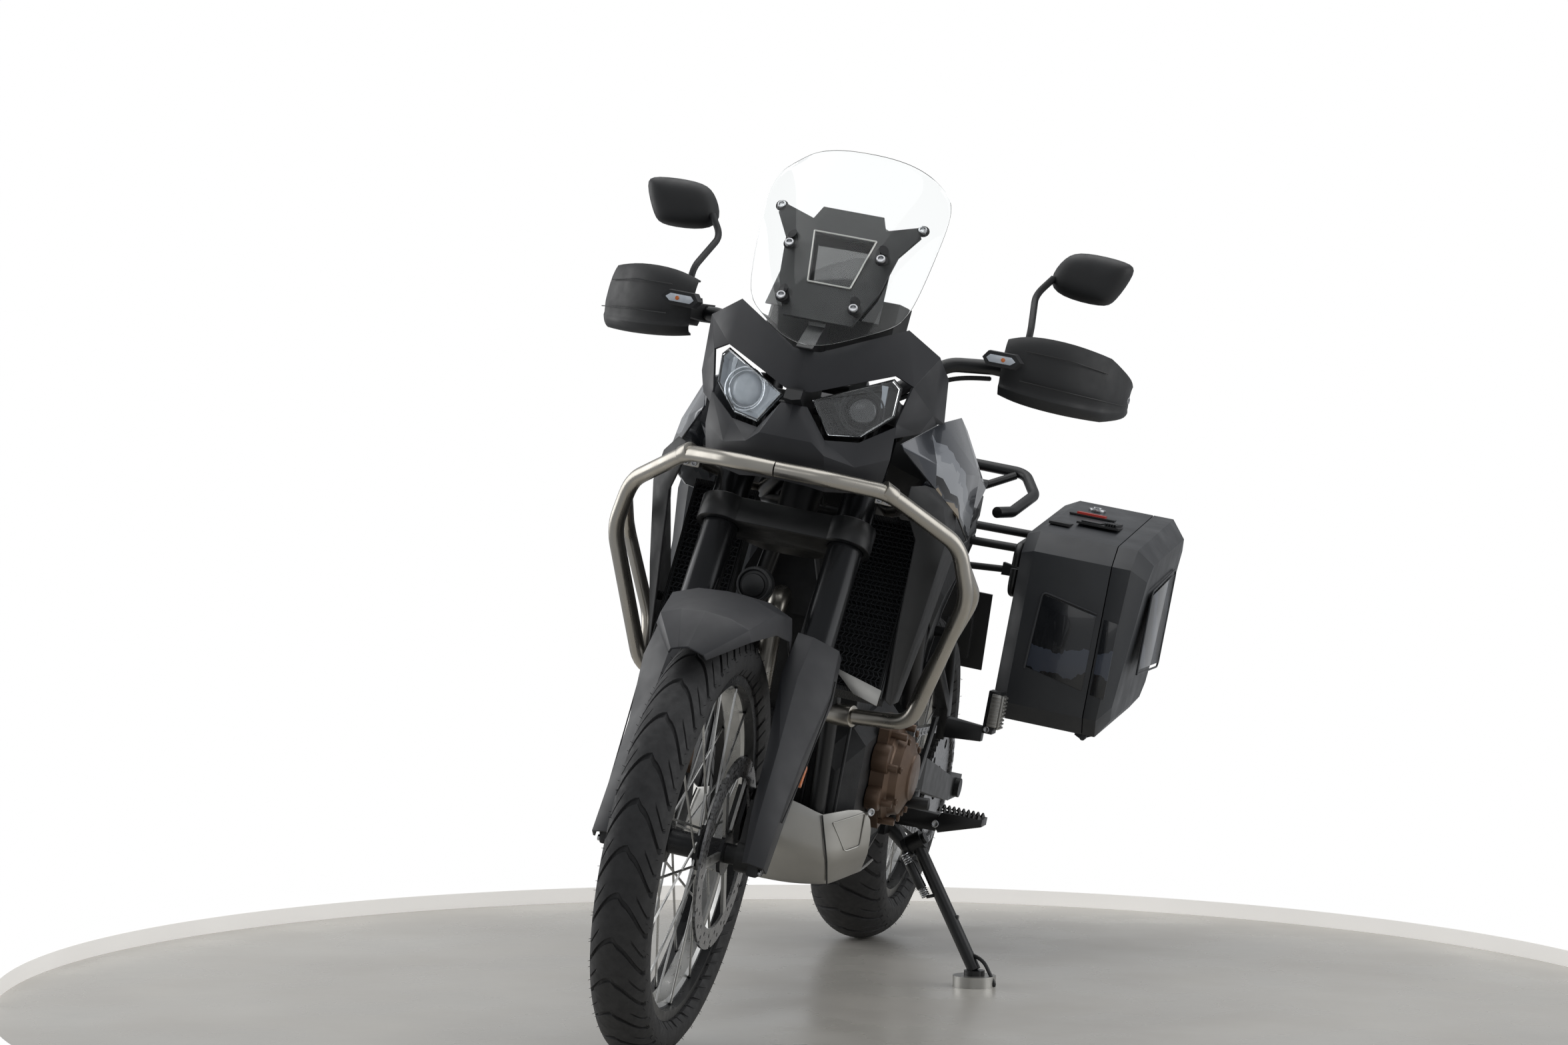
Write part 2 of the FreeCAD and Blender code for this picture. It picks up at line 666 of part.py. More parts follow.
def front_indicators():
    """Slim six-sided lamps on arms ahead of the handguards."""
    shape = ((-33, 0), (-24, 13), (24, 13), (36, 0), (24, -13), (-24, -13))
    x, y, z = (279, 403, 1188)
    back = [(x + a, y + 26, z + u) for a, u in shape]
    front = [(x + a * 0.94, y, z + u * 0.9) for a, u in shape]
    arm = behind(rod((x + 4, y + 22, z), (x + 9, y + 62, z), 5), handguard_rows(), S.panel_wall)
    return loft([back, front]).fuse(arm)


def fender_ring(radius, degrees, x):
    """A point round the front axle: degrees from straight up, positive rearwards."""
    turn = math.radians(degrees)
    return (x, AXLE.y + radius * math.sin(turn), AXLE.z + radius * math.cos(turn))


def front_fender():
    """Beaked mudguard over the tyre with its sides turned down."""
    top = S.front_tyre_radius + 58
    # Degrees from straight up, crown radius, half width, side radius, skirt radius
    ribs = ((-33, top - 18, 24, -8, -16), (-20, top - 4, 70, -16, -34), (-4, top, 84, -18, -50),
            (12, top - 2, 84, -20, -56), (26, top - 12, 72, -22, -50))
    rows = []
    for degrees, crown, half, side, skirt in ribs:
        rows.append(both_sides([fender_ring(crown, degrees, 0),
                                fender_ring(crown - 4, degrees, half * 0.55),
                                fender_ring(crown + side, degrees, half),
                                fender_ring(crown + skirt, degrees, half + 4)]))
    return panel(rows, S.panel_wall, 1)


def fork_guards():
    """Faceted guards ahead of the fork legs, from the fender's sides down to the axle."""
    # Height up the axis; inner edge, front crease, outer crease and rear edge as (x, y)
    levels = ((380, (86, -92), (112, -84), (150, -50), (150, -18)),
              (300, (82, -104), (108, -100), (158, -60), (156, -14)),
              (180, (92, -96), (112, -102), (146, -66), (146, -26)),
              (60, (100, -100), (114, -104), (142, -82), (144, -50)),
              (-22, (108, -98), (116, -100), (142, -88), (144, -66)))
    rows = [[from_fork(x, y, along) for x, y in corners] for along, *corners in levels]
    # Bosses against the lug and the lower tube: where they start, front, height and where they end
    bosses = [rod(from_fork(start, y, along), from_fork(end, y, along), 8)
              for start, y, along, end in ((S.fork_spread + 23 + S.seat_gap, -56, 82, 141),
                                           (S.fork_spread + S.inner_tube_radius + S.seat_gap,
                                            -S.clamp_offset, 240, 148))]
    return pair(panel(rows, S.panel_wall, 1).multiFuse(bosses))


# Frame and engine, in the bike frame

HEAD_LOW = S.lower_clamp_at + S.lower_clamp_height + 3
HEAD_TOP = S.upper_clamp_at - 3
PIVOT = (S.swingarm_pivot_y, S.swingarm_pivot_z)


def frame_tubes(grow=0.0):
    """The left side's tubes, grown when they are taken out of another piece's room."""
    spar = bent_tube([from_fork(20, 10, HEAD_TOP - 40), (96, 520, 900), (132, 700, 826),
                      (132, 900, 700), (128, PIVOT[0], PIVOT[1] + 60)], 19 + grow, 80)
    cradle = bent_tube([from_fork(14, 16, HEAD_LOW + 80), (70, 446, 700), (90, 486, 570), (96, 508, 350),
                        (104, 590, 263), (108, 880, 272), (118, PIVOT[0] - 30, PIVOT[1] - 90)],
                       15 + grow, 60)
    brace = rod(from_fork(14, 20, HEAD_LOW + 40), (110, 560, 872), 14 + grow)
    return [spar, cradle, brace]


def both_frame_tubes(grow):
    left = frame_tubes(grow)
    return left + [mirrored(tube) for tube in left]


def pivot_plate(grow=0.0):
    """Left plate round the swingarm's shaft, its faces moved outwards when it is taken out of a tube."""
    corners = ((-60, -120), (14, -122), (44, 50), (10, 170), (-40, 130), (-44, 0))
    outline = []
    for behind_pivot, above_pivot in corners:
        away = V(0, behind_pivot, above_pivot - 25)
        if grow:
            away *= 1 + 1.4 * grow / away.Length
        outline.append((112 - grow, PIVOT[0] + away.y, PIVOT[1] + 25 + away.z))
    return prism(outline, (26 + 2 * grow, 0, 0))


def fairing_stay():
    """Plate ahead of the head tube that carries the cowl, lamps, dash and screen."""
    outline = [from_fork(-14, -30, 680), from_fork(-14, -30, 745), from_fork(-14, -118, 770),
               (-14, 306, 1100 - S.seat_gap), (-14, 280, 1100 - S.seat_gap),
               (-14, 264.1, 1234.8), (-14, 241.1, 1199.6), (-14, 239, 1186),
               (-14, 180, 1150), (-14, 170, 1080), (-14, 150, 1050), (-14, 190, 1004)]
    plate = prism(outline, (28, 0, 0)).fuse(rod((-74, 278, 1050), (74, 278, 1050), 7))
    for rows in cowl_rows():
        plate = behind(plate, rows, S.panel_wall)
    return plate


def main_frame():
    """Head tube, twin spars, cradle tubes, pivot plates and the side stand's bracket."""
    bore = rod(from_fork(0, 0, HEAD_LOW - 40), from_fork(0, 0, HEAD_TOP + 40), S.stem_radius + S.bearing_gap)
    head = rod(from_fork(0, 0, HEAD_LOW), from_fork(0, 0, HEAD_TOP), S.head_tube_radius)
    tubes = frame_tubes()
    left = tubes[0].multiFuse([*tubes[1:], pivot_plate()])
    # Cross tubes behind the engine and over the damper, and the swingarm's shaft: reach, y, z, radius
    crosses = [rod((-reach, y, z), (reach, y, z), radius)
               for reach, y, z, radius in ((122, 936, 566, 12), (132, 884, 712, 12), (150, *PIVOT, 10))]
    shapes = [left, mirrored(left), stand_bracket(), fairing_stay()] + crosses
    return head.multiFuse(shapes).cut(bore)


def rear_tubes(grow=0.0):
    """The rear frame's left rail and strut."""
    rail = bent_tube([(130, 820, 748), (112, 880, 762), (112, 1120, 798), (104, 1400, 846), (84, 1500, 864)],
                     12 + grow, 120)
    strut = bent_tube([(125, PIVOT[0] + 6, PIVOT[1] + 140), (110, 1180, 700), (106, 1400, 836)],
                      11 + grow, 80)
    return [rail, strut]


def both_rear_tubes(grow):
    left = rear_tubes(grow)
    return left + [mirrored(tube) for tube in left]


def subframe():
    """Rear frame that carries the seats, rack and panniers."""
    tubes = both_rear_tubes(0.0)
    crosses = [rod((-x, y, z), (x, y, z), 9) for x, y, z in ((108, 1180, 808), (90, 1470, 856))]
    tail_room = box((-200, 1490 - S.seat_gap, 700), (200, 1600, 950))
    plate = pivot_plate(S.seat_gap)
    frame_room = both_frame_tubes(S.seat_gap) + [plate, mirrored(plate)]
    return tubes[0].multiFuse(tubes[1:] + crosses).cut(frame_room + [tail_room])


def engine_block():
    """Crankcase and upright twin cylinders."""

    def ring(y, half, low, high, edge=26):
        return [(-half, y, low + edge), (-half + edge, y, low), (half - edge, y, low), (half, y, low + edge),
                (half, y, high - edge), (half - edge, y, high), (-half + edge, y, high), (-half, y, high - edge)]

    # Sections of the crankcase from front to back: y, half width, low, high
    case = loft([ring(528, 110, 330, 470), ring(560, 148, 300, 520), ring(800, 150, 296, 560),
                 ring(905, 112, 320, 520)])
    # Cylinders lean forwards a little
    barrels = loft([[(x, y + dy, z) for x, y in ((-116, -88), (116, -88), (116, 84), (-116, 84))]
                    for dy, z in ((672, 500), (640, 700))])
    # The head's front is upright, where the header pipes meet it
    head = loft([[(x * w, y, z) for x, y in ((-118, 532), (118, 532), (118, rear), (-118, rear))]
                 for w, rear, z in ((0.96, 728, 694), (0.96, 720, 756), (0.8, 700, 800))])
    chain_room = box((84, 826, 350), (200, 960, 506))
    return case.multiFuse([barrels, head]).cut([chain_room] + both_frame_tubes(S.seat_gap))


def ribbed_cover(x_face, y, z, radius, depth, bulge):
    """Round side cover with a stepped, bevelled face."""
    steps = ((0, 1.0), (depth * 0.55, 1.0), (depth * 0.7, 0.88), (depth, 0.82), (depth + bulge, 0.45))
    outline = [V(x_face, 0, 0)] + [V(x_face + a, 0, radius * r) for a, r in steps]
    outline.append(V(x_face + depth + bulge, 0, 0))
    cover = turned_about_x(Part.Face(closed(outline)))
    cover.translate(V(0, y, z))
    return cover


def engine_covers():
    """Generator cover on the left, clutch cover on the right, camshaft cover on top."""
    left = ribbed_cover(150 + S.seat_gap, 715, 440, 84, 46, 14)
    lip = prism([(150 + S.seat_gap, 640, 392), (150 + S.seat_gap, 640, 520), (150 + S.seat_gap, 700, 545),
                 (150 + S.seat_gap, 790, 530), (150 + S.seat_gap, 800, 372), (150 + S.seat_gap, 700, 340)],
                (18, 0, 0))
    left = left.fuse(lip)
    right = mirrored(ribbed_cover(150 + S.seat_gap, 740, 430, 100, 40, 10))
    pump = mirrored(rod((150 + S.seat_gap, 610, 400), (186, 610, 400), 34))
    return Part.makeCompound([left, right.fuse(pump)])


def sprocket_cover():
    shape = [(826.3, 376), (826.3, 470), (884, 504), (930, 470), (925, 392), (880, 362)]
    return loft([[(x, 880 + (y - 880) * share, 430 + (z - 430) * share) for y, z in shape]
                 for x, share in ((114, 1.0), (146, 1.0), (154, 0.86))])


def exhaust():
    """Two header pipes under the engine to the silencer on the right."""
    centre = -(S.pannier_split - S.right_box_depth - S.silencer_radius - 16)
    headers = [bent_tube([(side * 40, 532, 724), (side * 38, 496, 706), (side * 36, 492, 600),
                          (side * 36, 492, 440), (side * 36, 496, 330), (side * 30, 562, 268),
                          (side * 14, 640, 266)], 17, 40) for side in (1, -1)]
    collector = bent_tube([(0, 622, 266), (-30, 820, 264), (-66, 948, 262), (-128, 1070, 274),
                           (-182, 1180, 316), (-192, 1270, 380), (-196, 1292, 500), (centre, 1356, 566)],
                          22, 70)
    run = V(0, 370, 112).normalize()
    start = V(centre, 1336, 560)
    muffler = rod(start, start + run * 390, S.silencer_radius)
    outlet = rod(start + run * 380, start + run * 420, 26)
    bore = rod(start + run * 350, start + run * 440, 22)
    head_room = box((-80, 532 - S.seat_gap, 640), (80, 580, 800))
    return collector.multiFuse(headers + [muffler, outlet]).cut([bore, head_room])


RADIATOR_TOP, RADIATOR_LOW = (447, 890), (339, 600)


def radiator_slab(x_in, x_out, front, thick, margin=0):
    """A slab parallel to the radiators' tilted face, front being its distance ahead of the core."""
    tilt = V(0, RADIATOR_TOP[0] - RADIATOR_LOW[0], RADIATOR_TOP[1] - RADIATOR_LOW[1]).normalize()
    ahead = V(0, -tilt.z, tilt.y)
    low = V(0, *RADIATOR_LOW) + tilt * margin + ahead * front
    high = V(0, *RADIATOR_TOP) - tilt * margin + ahead * front
    return prism([(x_in, low.y, low.z), (x_out, low.y, low.z), (x_out, high.y, high.z),
                  (x_in, high.y, high.z)], tuple(ahead * -thick))


def radiators():
    core = radiator_slab(96, 198, 0, 42)
    outer = behind(rod((190, 394, 690), (250, 394, 690), 8), shroud_rows(), S.panel_wall)
    # Lug against the cradle tube behind
    tube = V(70, 446, 700)
    run = (V(104, 404, 700) - tube).normalize()
    lug = rod(tube + run * (15 + S.seat_gap), V(104, 404, 700), 7)
    return pair(core.multiFuse([outer, lug]))


def radiator_guards():
    """Slatted guards ahead of the radiators."""
    frame = radiator_slab(92, 202, 12, 11.7).cut(radiator_slab(100, 194, 13, 14, 8))
    tilt = V(0, RADIATOR_TOP[0] - RADIATOR_LOW[0], RADIATOR_TOP[1] - RADIATOR_LOW[1])
    bars = []
    rows = 17
    for k in range(rows):
        place = V(0, *RADIATOR_LOW) + tilt * ((k + 0.8) / (rows + 0.6))
        ahead = V(0, -tilt.z, tilt.y).normalize()
        start = place + ahead * 7
        bars.append(wire_rod((97, start.y, start.z), (197, start.y, start.z), 2.5, 4))
    return pair(frame.multiFuse(bars))


def skid_plate():
    """Aluminium plate under the engine, its wings turned up beside the case."""
    rows = [both_sides(row) for row in (
        [(0, 452, 396), (62, 458, 392), (112, 484, 372), (186, 560, 404)],
        [(0, 452, 320), (66, 460, 310), (132, 496, 296), (184, 574, 310)],
        [(0, 520, 236), (70, 528, 236), (128, 556, 246), (164, 640, 268)],
        [(0, 880, 226), (70, 880, 226), (124, 880, 238), (150, 860, 272)])]
    # Bosses under the cradle tubes: along the machine, across it, top
    bosses = [rod((side * x, y, 238), (side * x, y, top - 15 - S.seat_gap), 9)
              for side in (1, -1) for y, x, top in ((660, 105, 265.1), (830, 107.3, 270.4))]
    return panel(rows, 4, 1).multiFuse(bosses)


def crash_bar_path():
    """Centre line of the upper bar and the left side tube."""
    reach = S.crash_bar_reach
    return [(0, 140, 950), (74, 147, 950), (171, 226, 944), (reach - 24, 330, 876), (reach, 362, 790),
            (238, 436, 562), (128, 476, 548)]


def crash_bars():
    half = crash_bar_path()
    path = [(-x, y, z) for x, y, z in reversed(half[1:])] + half[1:]
    main = bent_tube(path, S.crash_bar_radius, 40)
    reach = S.crash_bar_reach
    second = bent_tube([(reach - 16, 340, 850), (reach - 2, 440, 790), (246, 470, 640), (238, 442, 585)],
                       S.crash_bar_radius - 2, 40)
    collar = rod((166, 222, 945.5), (177, 230, 941.5), S.crash_bar_radius + 2)
    arm = bent_tube([(176, 238, 936), (178, 330, 928), (160, 460, 908), (104, 540, 892)], 8, 50)
    foot = rod((134, 474, 549), (88, 488, 545), 19)
    left = second.multiFuse([collar, arm, foot])
    return main.multiFuse([left, mirrored(left)]).cut(both_frame_tubes(S.seat_gap))


def shroud_rows():
    return [[(194, 290, 958), (214, 314, 964), (222, 350, 960)],
            [(192, 286, 925), (243, 343, 935), (250, 430, 925)],
            [(214, 313, 872), (256, 360, 882), (252, 470, 850)],
            [(210, 328, 740), (238, 368, 745), (232, 480, 735)],
            [(208, 350, 600), (212, 378, 590), (208, 462, 590)]]


def side_shrouds():
    """Black ducts beside the radiators."""
    return pair(panel(shroud_rows(), S.panel_wall, 1))


def tank_side_panels():
    """Glossy side panels from the lamps back to the seat."""
    rows = [[(170, 270, 1024), (206, 400, 1068), (208, 540, 1078), (192, 700, 1054), (152, 850, 986)],
            [(174, 276, 1014), (240, 410, 990), (252, 570, 986), (238, 730, 960), (160, 858, 920)],
            [(180, 296, 1004), (256, 420, 918), (254, 560, 874), (214, 700, 850), (150, 846, 866)]]
    # Posts between the tank and each panel
    tank = fuel_tank()
    tank.translate(V(S.seat_gap, 0, 0))
    posts = [behind(rod((100, y, z), (270, y, z), 10), rows, S.panel_wall - 1).cut(tank)
             for y, z in ((600, 950), (720, 930))]
    skin = panel(rows, S.panel_wall, 1)
    return pair(skin.multiFuse(posts))


def fuel_tank():
    rings = []
    # From front to back: y, half width, low, waist, high
    for y, half, low, waist, high in ((520, 84, 930, 985, 1040), (575, 150, 896, 960, 1074),
                                      (660, 176, 858, 950, 1082), (760, 160, 850, 930, 1052),
                                      (850, 112, 856, 900, 980)):
        rings.append([(0, y, high), (half * 0.62, y, high - 6), (half * 0.94, y, high - 40),
                      (half, y, waist), (half * 0.8, y, low), (-half * 0.8, y, low), (-half, y, waist),
                      (-half * 0.94, y, high - 40), (-half * 0.62, y, high - 6)])
    cap = rod((0, 660, 1070), (0, 660, 1088), 44)
    return loft(rings).fuse(cap).cut(both_frame_tubes(S.seat_gap))


def cowl_rows():
    """Upper cowl over the lamps and the chin under them."""
    upper = [both_sides(row) for row in (
        [(0, 196, 1146), (22, 202, 1146), (143, 286, 1208), (197, 317, 1173)],
        [(0, 186, 1080), (22, 192, 1080), (143, 250, 1132), (172, 274, 1118)])]
    chin = [both_sides(row) for row in (
        [(0, 178, 1056), (22, 186, 1056), (57, 200, 1008), (108, 226, 1014), (158, 258, 1050)],
        [(0, 158, 1002), (44, 166, 1002), (66, 176, 984), (112, 214, 974), (158, 256, 996)],
        [(0, 184, 932), (44, 190, 930), (72, 204, 926), (118, 236, 932), (150, 262, 948)])]
    return upper, chin


def nose_cowl():
    """Upper cowl, chin and the cheeks that join them beside the lamps."""
    cheek = panel([[(170, 271, 1116), (197, 316, 1172), (206, 372, 1140)],
                   [(157, 259, 1056), (200, 330, 1078), (208, 396, 1066)],
                   [(156, 257, 1030), (186, 312, 1044), (198, 380, 1062)]], S.panel_wall, 1)
    upper, chin = [panel(rows, S.panel_wall, 1) for rows in cowl_rows()]
    return upper.multiFuse([chin, cheek, mirrored(cheek)])


def headlights():
    """Two six-sided lamps under the cowl's brow, each on a boss against the stay's bar."""
    lens = ((25, 198, 1068), (141, 250, 1124), (153, 260, 1112), (151, 258, 1066), (108, 232, 1024),
            (60, 205, 1017))
    middle = V(110, 240, 1070)
    back = [tuple(V(*p) * 0.8 + (middle + V(0, 58, 0)) * 0.2 + V(0, 26, 0)) for p in lens]
    boss = rod((64, 240, 1050), (64, 278 - 7 - S.seat_gap, 1050), 9)
    return pair(loft([lens, back]).fuse(boss))


def screen_rows():
    return ([(0, 172, 1152), (45, 184, 1162), (97, 236, 1192), (130, 282, 1212)],
            [(0, 200, 1238), (60, 214, 1238), (110, 256, 1243), (143, 306, 1254)],
            [(0, 258, 1328), (65, 268, 1328), (118, 306, 1330), (153, 346, 1336)],
            [(0, 322, 1412), (65, 331, 1412), (120, 362, 1415), (160, 394, 1420)],
            [(0, 378, 1484), (55, 386, 1482), (100, 402, 1470), (130, 420, 1448)])


def windscreen():
    return panel([both_sides(row) for row in screen_rows()], S.screen_wall, 1)


def screen_bracket():
    """Plate behind the screen with its air slot and the bosses that the screen bolts to."""
    slope = V(0, 145, 222).normalize()
    foot = V(0, 232, 1196)
    square = V(0, slope.z, -slope.y)

    def lay(outline):
        return [tuple(foot + slope * s + V(x, 0, 0)) for x, s in outline]

    outline = ((-58, 0), (58, 0), (84, 70), (96, 150), (122, 196), (112, 214), (62, 196), (52, 222),
               (-52, 222), (-62, 196), (-112, 214), (-122, 196), (-96, 150), (-84, 70))
    slot = ((-34, 74), (34, 74), (50, 168), (-50, 168))
    plate = prism(lay(outline), tuple(square * 5))
    plate = plate.cut(prism(lay(slot), tuple(square * 20)).translate(square * -5))
    rows = [both_sides(row) for row in screen_rows()]
    bosses = []
    for x, up in ((61, 26), (-61, 26), (78, 136), (-78, 136)):
        at = foot + slope * up
        boss = rod((x, at.y + 2, at.z), tuple(V(x, at.y, at.z) - square * 40), 8)
        bosses.append(behind(boss, rows, 0, -1))
    return plate.multiFuse(bosses)


def instrument_panel():
    back = [(-118, 356, 1128), (118, 356, 1128), (118, 398, 1240), (-118, 398, 1240)]
    front = [(-104, 322, 1140), (104, 322, 1140), (104, 360, 1246), (-104, 360, 1246)]
    dash = loft([back, front])
    stay = box((-24, 300, 1100), (24, 345, 1150))
    return dash.fuse(stay)


def rider_seat():
    top = S.seat_height
    rings = []
    for y, half, high, low in ((862, 78, top + 8, top - 36), (930, 100, top - 2, top - 64),
                               (1040, 140, top, top - 84), (1140, 138, top + 22, top - 60),
                               (1176, 120, top + 40, top - 50)):
        rings.append([(0, y, high), (half * 0.7, y, high - 6), (half, y, high - 30), (half * 0.8, y, low),
                      (-half * 0.8, y, low), (-half, y, high - 30), (-half * 0.7, y, high - 6)])
    cross = rod((-108, 1180, 808), (108, 1180, 808), 9 + S.seat_gap)
    return loft(rings).cut(both_rear_tubes(S.seat_gap) + [cross] + shock_upper(S.seat_gap))


def passenger_seat():
    top = S.seat_height + 54
    rings = []
    for y, half, high, low in ((1180, 112, top - 10, top - 100), (1260, 128, top, top - 94),
                               (1400, 122, top + 4, top - 70), (1480, 96, top - 2, top - 58)):
        rings.append([(0, y, high), (half * 0.7, y, high - 5), (half, y, high - 24), (half * 0.94, y, low),
                      (-half * 0.94, y, low), (-half, y, high - 24), (-half * 0.7, y, high - 5)])
    crosses = [rod((-x, y, z), (x, y, z), 9 + S.seat_gap) for x, y, z in ((108, 1180, 808), (90, 1470, 856))]
    return loft(rings).cut(both_rear_tubes(S.seat_gap) + crosses)


def side_covers():
    """Panels under the seat."""
    rows = [[(128, 880, 822), (140, 1010, 798), (136, 1150, 806), (124, 1300, 842)],
            [(140, 884, 780), (150, 1010, 740), (140, 1150, 770), (126, 1300, 826)],
            [(140, 900, 724), (140, 990, 680), (130, 1100, 716), (126, 1240, 806)]]
    boss = behind(rod((112 + 12 + S.seat_gap, 1050, 787), (170, 1050, 787), 7), rows, S.panel_wall - 1)
    return pair(panel(rows, S.panel_wall, 1).fuse(boss))


def tail_unit():
    """Tail under the rack, the arm behind the wheel, its blank plate holder and the rear indicators."""
    rings = []
    # From front to back: y, half width, high, low
    for y, half, high, low in ((1490, 84, 902, 820), (1530, 82, 912, 830), (1720, 60, 912, 862),
                               (1760, 44, 910, 878)):
        rings.append([(-half, y, low), (half, y, low), (half, y, high - 10), (half * 0.8, y, high),
                      (-half * 0.8, y, high), (-half, y, high - 10)])
    end = S.wheelbase + S.plate_reach
    arm = loft([[(-34, 1600, 850), (34, 1600, 850), (34, 1690, 872), (-34, 1690, 872)],
                [(-28, end - 82, 736), (28, end - 82, 736), (28, end - 52, 752), (-28, end - 52, 752)],
                [(-60, end - 6, 640), (60, end - 6, 640), (60, end + 16, 646), (-60, end + 16, 646)],
                [(-60, end + 16, 560), (60, end + 16, 560), (60, end + 34, 564), (-60, end + 34, 564)]])
    holder = prism([(-90, end, 700), (90, end, 700), (90, end + 38, 540), (-90, end + 38, 540)], (0, 5, 1.2))
    lamps = []
    for side in (1, -1):
        lamps.append(rod((0, end - 74, 752), (side * 120, end - 66, 762), 7))
        lamps.append(prism([(side * 112, end - 77, 750), (side * 176, end - 77, 752), (side * 182, end - 77, 764),
                            (side * 112, end - 77, 776)], (0, 22, 0)))
    return loft(rings).multiFuse([arm, holder] + lamps)


def rear_light():
    return box((-42, 1760 + S.seat_gap, 880), (42, 1776, 907))


def rear_rack():
    """Slotted deck on the tail with a grab rail round it."""
    deck = prism([(-62, 1500, 926), (62, 1500, 926), (84, 1600, 926), (62, 1730, 926), (-62, 1730, 926),
                  (-84, 1600, 926)], (0, 0, S.rack_top - 926))
    middle = V(0, S.rack_middle_y, S.rack_top)
    half = S.rack_bolt_circle / math.sqrt(8)
    cuts = [box((-38, y - 13, 900), (38, y + 13, 950)) for y in (middle.y - 50, middle.y, middle.y + 50)]
    cuts += [rod((x, middle.y + y, 900), (x, middle.y + y, 950), S.rack_bolt_hole)
             for x in (-half, half) for y in (-half, half)]
    feet = [box((-30, y - 5, 912 + S.seat_gap), (30, y + 5, 927)) for y in (middle.y - 25, middle.y + 25)]
    rail = bent_tube([(130, 1506, 886), (150, 1560, 890), (168, 1680, 926), (130, 1752, 962),
                      (0, 1762, 962)], 11, 40)
    strut = rod((58, 1716, S.rack_top - 12), (112, 1745, 955), 8)
    left = rail.fuse(strut)
    return deck.cut(cuts).multiFuse([left, mirrored(left)] + feet)


def rear_hugger():
    """Guard over the front of the rear tyre on stays from the swingarm."""
    rows = []
    radius = S.rear_tyre_radius + 24
    for degrees in (-68, -48, -28):
        turn = math.radians(degrees)
        y, z = REAR_AXLE.y + radius * math.sin(turn), REAR_AXLE.z + radius * math.cos(turn)
        y_in = REAR_AXLE.y + (radius - 26) * math.sin(turn)
        z_in = REAR_AXLE.z + (radius - 26) * math.cos(turn)
        rows.append(both_sides([(0, y, z), (60, y, z), (88, y_in, z_in)]))
    stay = rod((52, PIVOT[0] + 114, PIVOT[1] + 4), (52, 1250, 467), 6)
    return panel(rows, 3, 1).multiFuse([stay, mirrored(stay)])


def swingarm():
    y0, z0 = PIVOT
    y1, z1 = REAR_AXLE.y, REAR_AXLE.z
    z_mid = z0 * 0.7 + z1 * 0.3
    # From front to back: inner x, outer x, y, middle height, below, above
    rings = ((82, 108, y0 + 8, z0, 24, 26), (82, 109, y0 + 56, z0 - 8, 28, 26), (114, 146, y0 + 190, z_mid, 34, 30),
             (114, 146, y1 - 90, z1 + 8, 26, 22), (114, 140, y1 - 36, z1, 22, 22), (114, 140, y1 + 52, z1, 22, 22))
    beam = loft([[(x_in, y, z - below), (x_out, y, z - below), (x_out, y, z + above), (x_in, y, z + above)]
                 for x_in, x_out, y, z, below, above in rings])
    arm = beam.multiFuse([mirrored(beam), rod((-108, y0, z0), (108, y0, z0), 27),
                          box((-112, y0 + 76, z0 - 48), (112, y0 + 118, z0 + 14))])
    arm = arm.cut(rod((-200, y0, z0), (200, y0, z0), 10 + S.bearing_gap))
    slot = box((-200, y1 - 14, z1 - S.rear_axle_radius - 0.3), (200, y1 + 14, z1 + S.rear_axle_radius + 0.3))
    return arm.cut(slot.cut(box((-110, y1 - 60, z1 - 60), (110, y1 + 60, z1 + 60))))


def rear_axle():
    y, z = REAR_AXLE.y, REAR_AXLE.z
    shapes = [rod((-146, y, z), (150, y, z), S.rear_axle_radius)]
    for side, start, end in ((1, 140.3, 150), (-1, 140.3, 152)):
        shapes.append(rod((side * start, y, z), (side * end, y, z), 19))
    for side, start in ((1, S.chain_plane + 0.6), (-1, S.rear_disc_spread + 4)):
        shapes.append(rod((side * start, y, z), (side * (114 - S.seat_gap), y, z), 18))
    return shapes[0].multiFuse(shapes[1:])


def shock_line():
    """The damper's foot, its top and the direction between them."""
    foot, top = V(0, PIVOT[0] + 96, PIVOT[1] + 14 + S.seat_gap), V(0, 897, 706)
    return foot, top, (top - foot).normalize()


def shock_upper(grow):
    """The spring and the shaft above it."""
    foot, top, run = shock_line()
    return [rod(foot + run * 90, foot + run * 250, 29 + grow), rod(foot + run * 100, top, 13 + grow)]


def rear_shock():
    """Damper between the swingarm's cross beam and the frame's upper cross tube."""
    foot, top, run = shock_line()
    body = rod(foot, foot + run * 110, 24)
    top_room = rod((-40, 884, 712), (40, 884, 712), 12 + S.seat_gap)
    flat = box((-60, 900, 300), (60, 1200, foot.z))
    return body.multiFuse(shock_upper(0)).cut([top_room, flat])


def chain_loop(grow):
    """Outline round both sprockets, grown outwards from the tooth tips."""
    front = V(0, S.front_sprocket_y, S.front_sprocket_z)
    rear = V(0, REAR_AXLE.y, REAR_AXLE.z)
    r0, r1 = S.front_sprocket_radius + grow, S.rear_sprocket_radius + grow
    span = rear - front
    base = math.atan2(span.z, span.y)
    spread = math.acos((r0 - r1) / span.Length)
    edges = []

    def at(centre, radius, turn):
        return centre + V(0, math.cos(turn), math.sin(turn)) * radius

    up, down = base + spread, base - spread
    edges.append(Part.LineSegment(at(front, r0, up), at(rear, r1, up)).toShape())
    edges.append(Part.Arc(at(rear, r1, up), at(rear, r1, base), at(rear, r1, down)).toShape())
    edges.append(Part.LineSegment(at(rear, r1, down), at(front, r0, down)).toShape())
    edges.append(Part.Arc(at(front, r0, down), at(front, r0, base + math.pi), at(front, r0, up)).toShape())
    return Part.Face(Part.Wire(edges))


def drive_chain():
    ring = chain_loop(S.sprocket_gap + S.chain_height).cut(chain_loop(S.sprocket_gap))
    band = ring.extrude(V(S.chain_width, 0, 0))
    band.translate(V(S.chain_plane - S.chain_width / 2, 0, 0))
    return band


